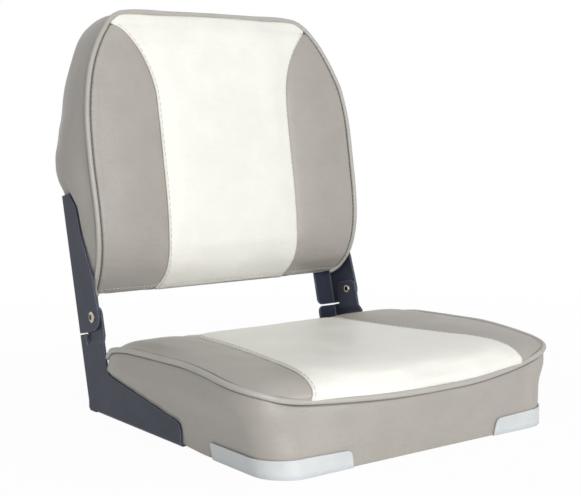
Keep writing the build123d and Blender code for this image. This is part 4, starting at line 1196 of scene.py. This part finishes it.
# From the folded bottom edge up beside the white panel, and out to the welt at the shoulder
back_seam_points = [(97.6, back_hem_y, back_base_z), (97, 185.5, 147), (97.2, 171.5, 162),
                    (97.2, 165.3, 186), (97.1, 165.2, 207), (97, 169.5, 254), (97, 177.4, 301),
                    (97.3, 185, 346), (99.4, 191, 384), (103.6, 194.9, 401), (110.6, 198.6, 418.5),
                    (120, 201.4, 434.5), (130.5, 204.6, 447.7), (138.5, 209, 455.2), (147, 214.5, 459.2)]
back_middle_points = [(0, back_hem_y, back_base_z), (0, 184.5, 147), (0, 169.5, 162), (0, 162.5, 186),
                      (0, 162, 207), (0, 166, 254), (0, 174, 301), (0, 182, 346), (0, 188.5, 384),
                      (0, 194.5, 418), (0, 199.5, 442), (0, 205.5, 460), (0, 212, 470), (0, 219, 475)]
# How far the rear stands forward of the brackets' rear edge, by the distance up along their lean
back_rear_fore = [(0, 3.9), (260, 3.9), (272, 0.5), (290, -4), (325, -7.5), (370, -9), (420, -6.6),
                  (470, 0.4), (520, 8)]
back_side_crown = 3.5
back_crown_reach = 35.0
back_swell = 5.5
back_top_swell = -3.0                   # less swell over the top than at the sides
# How much smaller the rear outline is, by height: the shoulders slope away behind the welt
back_draw = [(136, 5), (200, 2), (240, -3), (256, -8), (280, -8), (303, -4), (317, 2), (331, 5.5),
             (344, 10), (356, 12.5), (368, 13.5), (382, 15), (405, 16.5), (417, 16.5), (430, 15),
             (450, 12), (464, 12.5), (476, 9)]
back_rear_round = 6.0                   # the boxing turns in by this at the rear edge, over this distance
rear_round_reach = 12.0
back_rows = 66
shoulder_rows = 6

back_welt = smooth_line(back_welt_points, fairing=5)
along = unit(np.gradient(back_welt, axis=0))
front_out = unit(np.column_stack([along[:, 2], np.zeros(len(along)), -along[:, 0]]))
back_welt_out = unit(front_out * 0.85 + np.array([0, -0.5, 0]))
back_edge = tucked_in(back_welt, back_welt_out, welt_tuck)
back_edge[-1, 0] = 0
shoulder = nearest(back_edge, back_seam_points[-1])
back_seam = smooth_line(back_seam_points[:-1] + [back_edge[shoulder]], fairing=4)
back_middle = smooth_line(back_middle_points, fairing=4)
top_corner = int(np.argmax(back_edge[:, 2] > back_edge[-1, 2] - 0.15))


def at_heights(line, shares):
    """Points of a rising line at shares of its rise."""
    height = np.maximum.accumulate(line[:, 2])
    wanted = height[0] + (height[-1] - height[0]) * np.asarray(shares)
    return np.column_stack([np.interp(wanted, height, line[:, axis]) for axis in range(3)])


low_middle = back_middle[:nearest(back_middle, (0, 0, back_edge[shoulder][2]), (2,)) + 1]
row_places = at_shares(low_middle, crowded(back_rows, 0.25))
rise = (row_places[:, 2] - row_places[0, 2]) / (row_places[-1, 2] - row_places[0, 2])
side_ends = at_heights(back_edge[:shoulder + 1], rise)
seam_places = at_heights(back_seam, rise)
upper_rise = crowded(shoulder_rows, 0)
upper_ends = at_heights(back_edge[shoulder:top_corner + 1], upper_rise)
high_middle = back_middle[len(low_middle) - 1:].copy()
high_middle[-1] = back_edge[-1]
upper_middle = at_heights(high_middle, upper_rise)

u = side_shares[None, :, None]
back_side_grid = seam_places[:, None] * (1 - u) + side_ends[:, None] * u
back_from_seam, back_from_side = row_runs(back_side_grid)
side_fill = (np.clip(back_from_seam / back_crown_reach, 0, 1)
             * np.clip(back_from_side / back_crown_reach, 0, 1))
back_side_grid[:, :, 1] -= back_side_crown * side_fill * np.clip(rise / 0.12, 0, 1)[:, None]
c = centre_shares[None, :, None]
ends = np.vstack([seam_places, upper_ends[1:]])
middles = np.vstack([row_places, upper_middle[1:]])
back_centre_grid = middles[:, None] + (ends - middles)[:, None] * (1 - c) ** 2
back_centre_grid[:, :, 0] = ends[:, None, 0] * (1 - centre_shares)[None]
back_centre_grid[:, :, 2] = (middles[:, None] + (ends - middles)[:, None] * (1 - c) ** 3)[:, :, 2]
top_line = at_shares(back_edge[top_corner:], centre_shares)
back_centre_grid[-1] = top_line
centre_white = np.vstack([row_runs(back_centre_grid)[0][:back_rows],
                          np.full((shoulder_rows - 1, len(centre_shares)), 99)])
centre_top = column_runs(back_centre_grid)[1]
centre_end = row_runs(back_centre_grid)[0].copy()
centre_end[:back_rows] = 99
centre_welt = np.minimum(centre_top, centre_end)


def rear_depth(z):
    """Rearward place of the backrest's rear at a height."""
    up = z / math.cos(math.atan(lean_slope))
    fore = read_table(back_rear_fore, up)
    rear = corners_of("upper_bracket_right")[1]
    return rear[1] + (z - rear[2]) * lean_slope - fore * math.sqrt(1 + lean_slope ** 2)


# The boxing runs back from the welt, swells, and turns in round the rear edge
rim = np.vstack([side_ends, upper_ends[1:], top_line[1:]])
rim_out = unit(np.array([front_out[nearest(back_edge, place)] for place in rim]))
rim_out[-1] = (0, 0, 1)
heel = rim - rim_out * read_table(back_draw, rim[:, 2])[:, None]
heel[:, 2] = np.maximum(heel[:, 2], back_base_z)
heel[:, 1] = rear_depth(heel[:, 2])
heel[-1, 0] = 0
w = boxing_shares[:, None, None]
back_boxing_grid = rim[None] * (1 - w) + heel[None] * w
behind_welt = column_runs(back_boxing_grid)[0]
to_rear = column_runs(back_boxing_grid)[1]
bulge = back_swell + back_top_swell * np.clip(rim_out[:, 2], 0, 1)
stand = off_the_welt(behind_welt) + bulge[None] * np.sin(np.pi * boxing_shares)[:, None] ** 0.8 \
    - back_rear_round * np.clip(1 - to_rear / rear_round_reach, 0, 1) ** 2
stand *= np.clip(1 + rim_out[:, 2] * 1.15, 0, 1)[None]
back_boxing_grid += rim_out[None] * stand[:, :, None]
back_boxing_grid[:, -1, 0] = 0
heel = back_boxing_grid[-1]

# The underside and the rear, with the columns of the front
bottom_x = np.concatenate([back_side_grid[0, ::-1, 0], back_centre_grid[0, 1:, 0]]) / rim[0, 0]


def across_from(line):
    """Straight rows from a line of points to the middle, with the columns of the front."""
    grid = np.repeat(line[:, None], len(bottom_x), axis=1)
    grid[:, :, 0] *= bottom_x
    return grid


underside_grid = across_from(back_boxing_grid[:, 0])
front_bottom = np.vstack([back_side_grid[0, ::-1], back_centre_grid[0, 1:]])
underside_grid[0] = front_bottom
flat = np.clip((1 - bottom_x) / 0.06, 0, 1)[None]
underside_grid[1:, :, 2] = underside_grid[1:, :, 2] * (1 - flat) + back_base_z * flat
rear_side = heel[:back_rows + shoulder_rows - 1]
rear_top = heel[back_rows + shoulder_rows - 2:]
rear_grid = across_from(rear_side)
rear_grid[0] = underside_grid[-1]
top_shares = rear_top[:, 0] / rear_top[0, 0]
rear_grid[-1] = rear_top[[int(np.argmin(np.abs(top_shares - share))) for share in bottom_x]]

back_skin = Skin()
back_numbers = {}
for flip, name in ((False, "right"), (True, "left")):
    turn = mirrored if flip else np.array
    back_numbers["side_" + name] = back_skin.add_grid("side_" + name, turn(back_side_grid), flip,
                                                      welt=back_from_side, grey=back_from_seam)
    back_numbers["centre_" + name] = back_skin.add_grid("centre", turn(back_centre_grid), not flip,
                                                        welt=centre_welt, white=centre_white)
    back_skin.add_grid("boxing", turn(back_boxing_grid), not flip, boxing=behind_welt, rear=to_rear)
    back_skin.add_grid("boxing", turn(underside_grid), flip, rear=0.0)
    back_skin.add_grid("rear", turn(rear_grid), flip, rear=0.0)


# Backrest's stuffing
# The same foam and cover as the seat's. The cover lies flat against the board at the rear and rolls round the
# upper brackets' side plates.
back_most_swell = 4.0
upper_plate_shape = [(91, 55), (107, 55), (153, 51), (207, 36.5), (239, 34), (259, 21)]     # (up, fore)

def outside_upper_bracket(y, z):
    """Distance outside the upper bracket's side plate, seen from the side; negative inside."""
    lean = math.atan(lean_slope)
    up = (y - bracket_foot_y) * math.sin(lean) + z * math.cos(lean)
    fore = z * math.sin(lean) - (y - bracket_foot_y) * math.cos(lean)
    reach = read_table(upper_plate_shape, up)
    return np.maximum(np.maximum(fore - reach, up - upper_plate_shape[-1][0]), upper_plate_shape[0][0] - up)


back_points = np.array(back_skin.points)
held = on_lines(back_skin, ("welt", "boxing", "grey", "white", "rear"))
back_points = inflated("back_cover_stuffing", back_points, back_skin.faces, held, back_most_swell)
back_points = puffed(back_points, back_skin)
roll_over_plate(back_points, outside_upper_bracket(back_points[:, 1], back_points[:, 2]), rise=0.7)


# Backrest covers
# White and grey vinyl panels as on the seat, a boxing strip that also closes the underside, and a rear panel.
back_centre = cover_panel("back_centre_panel", back_skin, back_points, ["centre"], vinyl_wall)
back_left = cover_panel("back_left_panel", back_skin, back_points, ["side_left"], vinyl_wall)
back_right = cover_panel("back_right_panel", back_skin, back_points, ["side_right"], vinyl_wall)
back_boxing = cover_panel("back_boxing_strip", back_skin, back_points, ["boxing"], vinyl_wall)
back_rear = cover_panel("back_rear_panel", back_skin, back_points, ["rear"], vinyl_wall)
for piece, node in ((back_centre, "back_cover_centre"), (back_left, "back_cover_side_left"),
                    (back_right, "back_cover_side_right"), (back_boxing, "back_cover_boxing"),
                    (back_rear, "back_cover_rear")):
    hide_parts(node)
    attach(piece, "backrest")
    finished(piece, white_vinyl if piece is back_centre else grey_vinyl)


# Backrest board
# A stiff bowed board, moulded in the pan's plastic, that the foam, the cover and the brackets are fixed to.
# Its shoulders slope inside the cover's.
board_thick = 12.0
board_edge = 3.0                        # it stands this far inside the cover all round

board_gap = 0.1                         # to the rear panel of vinyl

used, rear_faces = cut_out(back_skin, ["rear"])
board_points = back_points[used]
middle_z = (board_points[:, 2].min() + board_points[:, 2].max()) / 2
board_points[:, 0] *= 1 - board_edge / np.abs(board_points[:, 0]).max()
board_points[:, 2] = middle_z + (board_points[:, 2] - middle_z) * (1 - board_edge / (middle_z - back_base_z))
board_points[:, 1] = rear_depth(board_points[:, 2]) - vinyl_wall - board_gap
back_board = add_object("back_board_panel", mesh_from("back_board_panel", board_points, rear_faces))
thickened(back_board, board_thick)
finished(back_board, pan_plastic)
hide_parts("back_board")
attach(back_board, "backrest")


# Backrest foam
# One block of the same foam behind the covers, with the board let into its rear.
board_depth = 13.5
plate_relief = 1.5                      # the foam is slimmer beside the upper brackets' side plates
plate_fade = 30.0                       # and full again this far from them

inside_points = back_points.copy()
rear_place = rear_depth(inside_points[:, 2]) - board_depth - vinyl_wall
inside_points[:, 1] = np.minimum(inside_points[:, 1], rear_place)
beside_plate = np.clip(1 - outside_upper_bracket(back_points[:, 1], back_points[:, 2]) / plate_fade, 0, 1)
inside_points[:, 0] -= np.sign(inside_points[:, 0]) * plate_relief * beside_plate
back_foam = foam_piece("back_foam_block", back_skin, inside_points,
                       ["centre", "side_left", "side_right", "boxing", "rear"], back_base_z + 3.5)
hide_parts("back_foam")
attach(back_foam, "backrest")
finished(back_foam, foam_rubber)


# Welt round the backrest
# The same welt, sewn in from one bottom corner over the top to the other.
whole_back_welt = np.vstack([back_welt, mirrored(back_welt)[-2::-1]])[::3]
whole_back_out = np.vstack([back_welt_out, mirrored(back_welt_out)[-2::-1]])[::3]
back_welt_piece = welt_piece("back_welt", whole_back_welt, whole_back_out, welt_radius, welt_cord_radius,
                             False, 5)
back_cord_piece = welt_piece("back_welt_cord", whole_back_welt, whole_back_out,
                             welt_cord_radius - cord_clearance, 0, False, 6)
for piece, node, finish in ((back_welt_piece, "back_piping", "piping_vinyl"),
                            (back_cord_piece, "back_piping_cord", "piping_core")):
    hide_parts(node)
    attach(piece, "backrest")
    finished(piece, welt_vinyl if piece is back_welt_piece else welt_cord_plastic)


# Backrest stitches
# White topstitching beside both seams, a light stitch that closes the folded bottom edge, and the dark stitch
# beside the welt.
hem_stitch_height = 11.0
hem_stitch_pitch = 5.0
hem_stitch_length = 3.9
back_stitch_from_welt = 2.6

hem_thread = thread_of("grey polyester thread", ("#C9C6BF", "#D6D3CC"))
back_normals = surface_normals(back_points, back_skin.faces)
back_top_lines = [line_beside(back_points, back_normals, back_numbers["centre_" + side][:back_rows],
                              topstitch_from_seam)[2:-1] for side in ("left", "right")]
back_topstitch = sewn_along("back_topstitch", back_top_lines, topstitch_pitch, topstitch_length, white_thread)
hem_lines = []
for side in ("left", "right"):
    for panel in ("side_", "centre_"):
        from_bottom = back_numbers[panel + side].T
        line = line_beside(back_points, back_normals, from_bottom, hem_stitch_height, 0.35)
        hem_lines.append(line[:-2] if panel == "side_" else line)
back_hem_stitch = sewn_along("back_hem_stitch", hem_lines, hem_stitch_pitch, hem_stitch_length, hem_thread)
welt_lines = [line_beside(back_points, back_normals, back_numbers["side_" + side][:, ::-1],
                          back_stitch_from_welt, 0.3)[4:-3] for side in ("left", "right")]
back_welt_stitch = sewn_along("back_welt_stitch", welt_lines, welt_stitch_pitch, welt_stitch_length,
                              dark_thread)
for piece, finish in ((back_topstitch, "white_vinyl"), (back_hem_stitch, "grey_vinyl"),
                      (back_welt_stitch, "grey_vinyl")):
    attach(piece, "backrest")
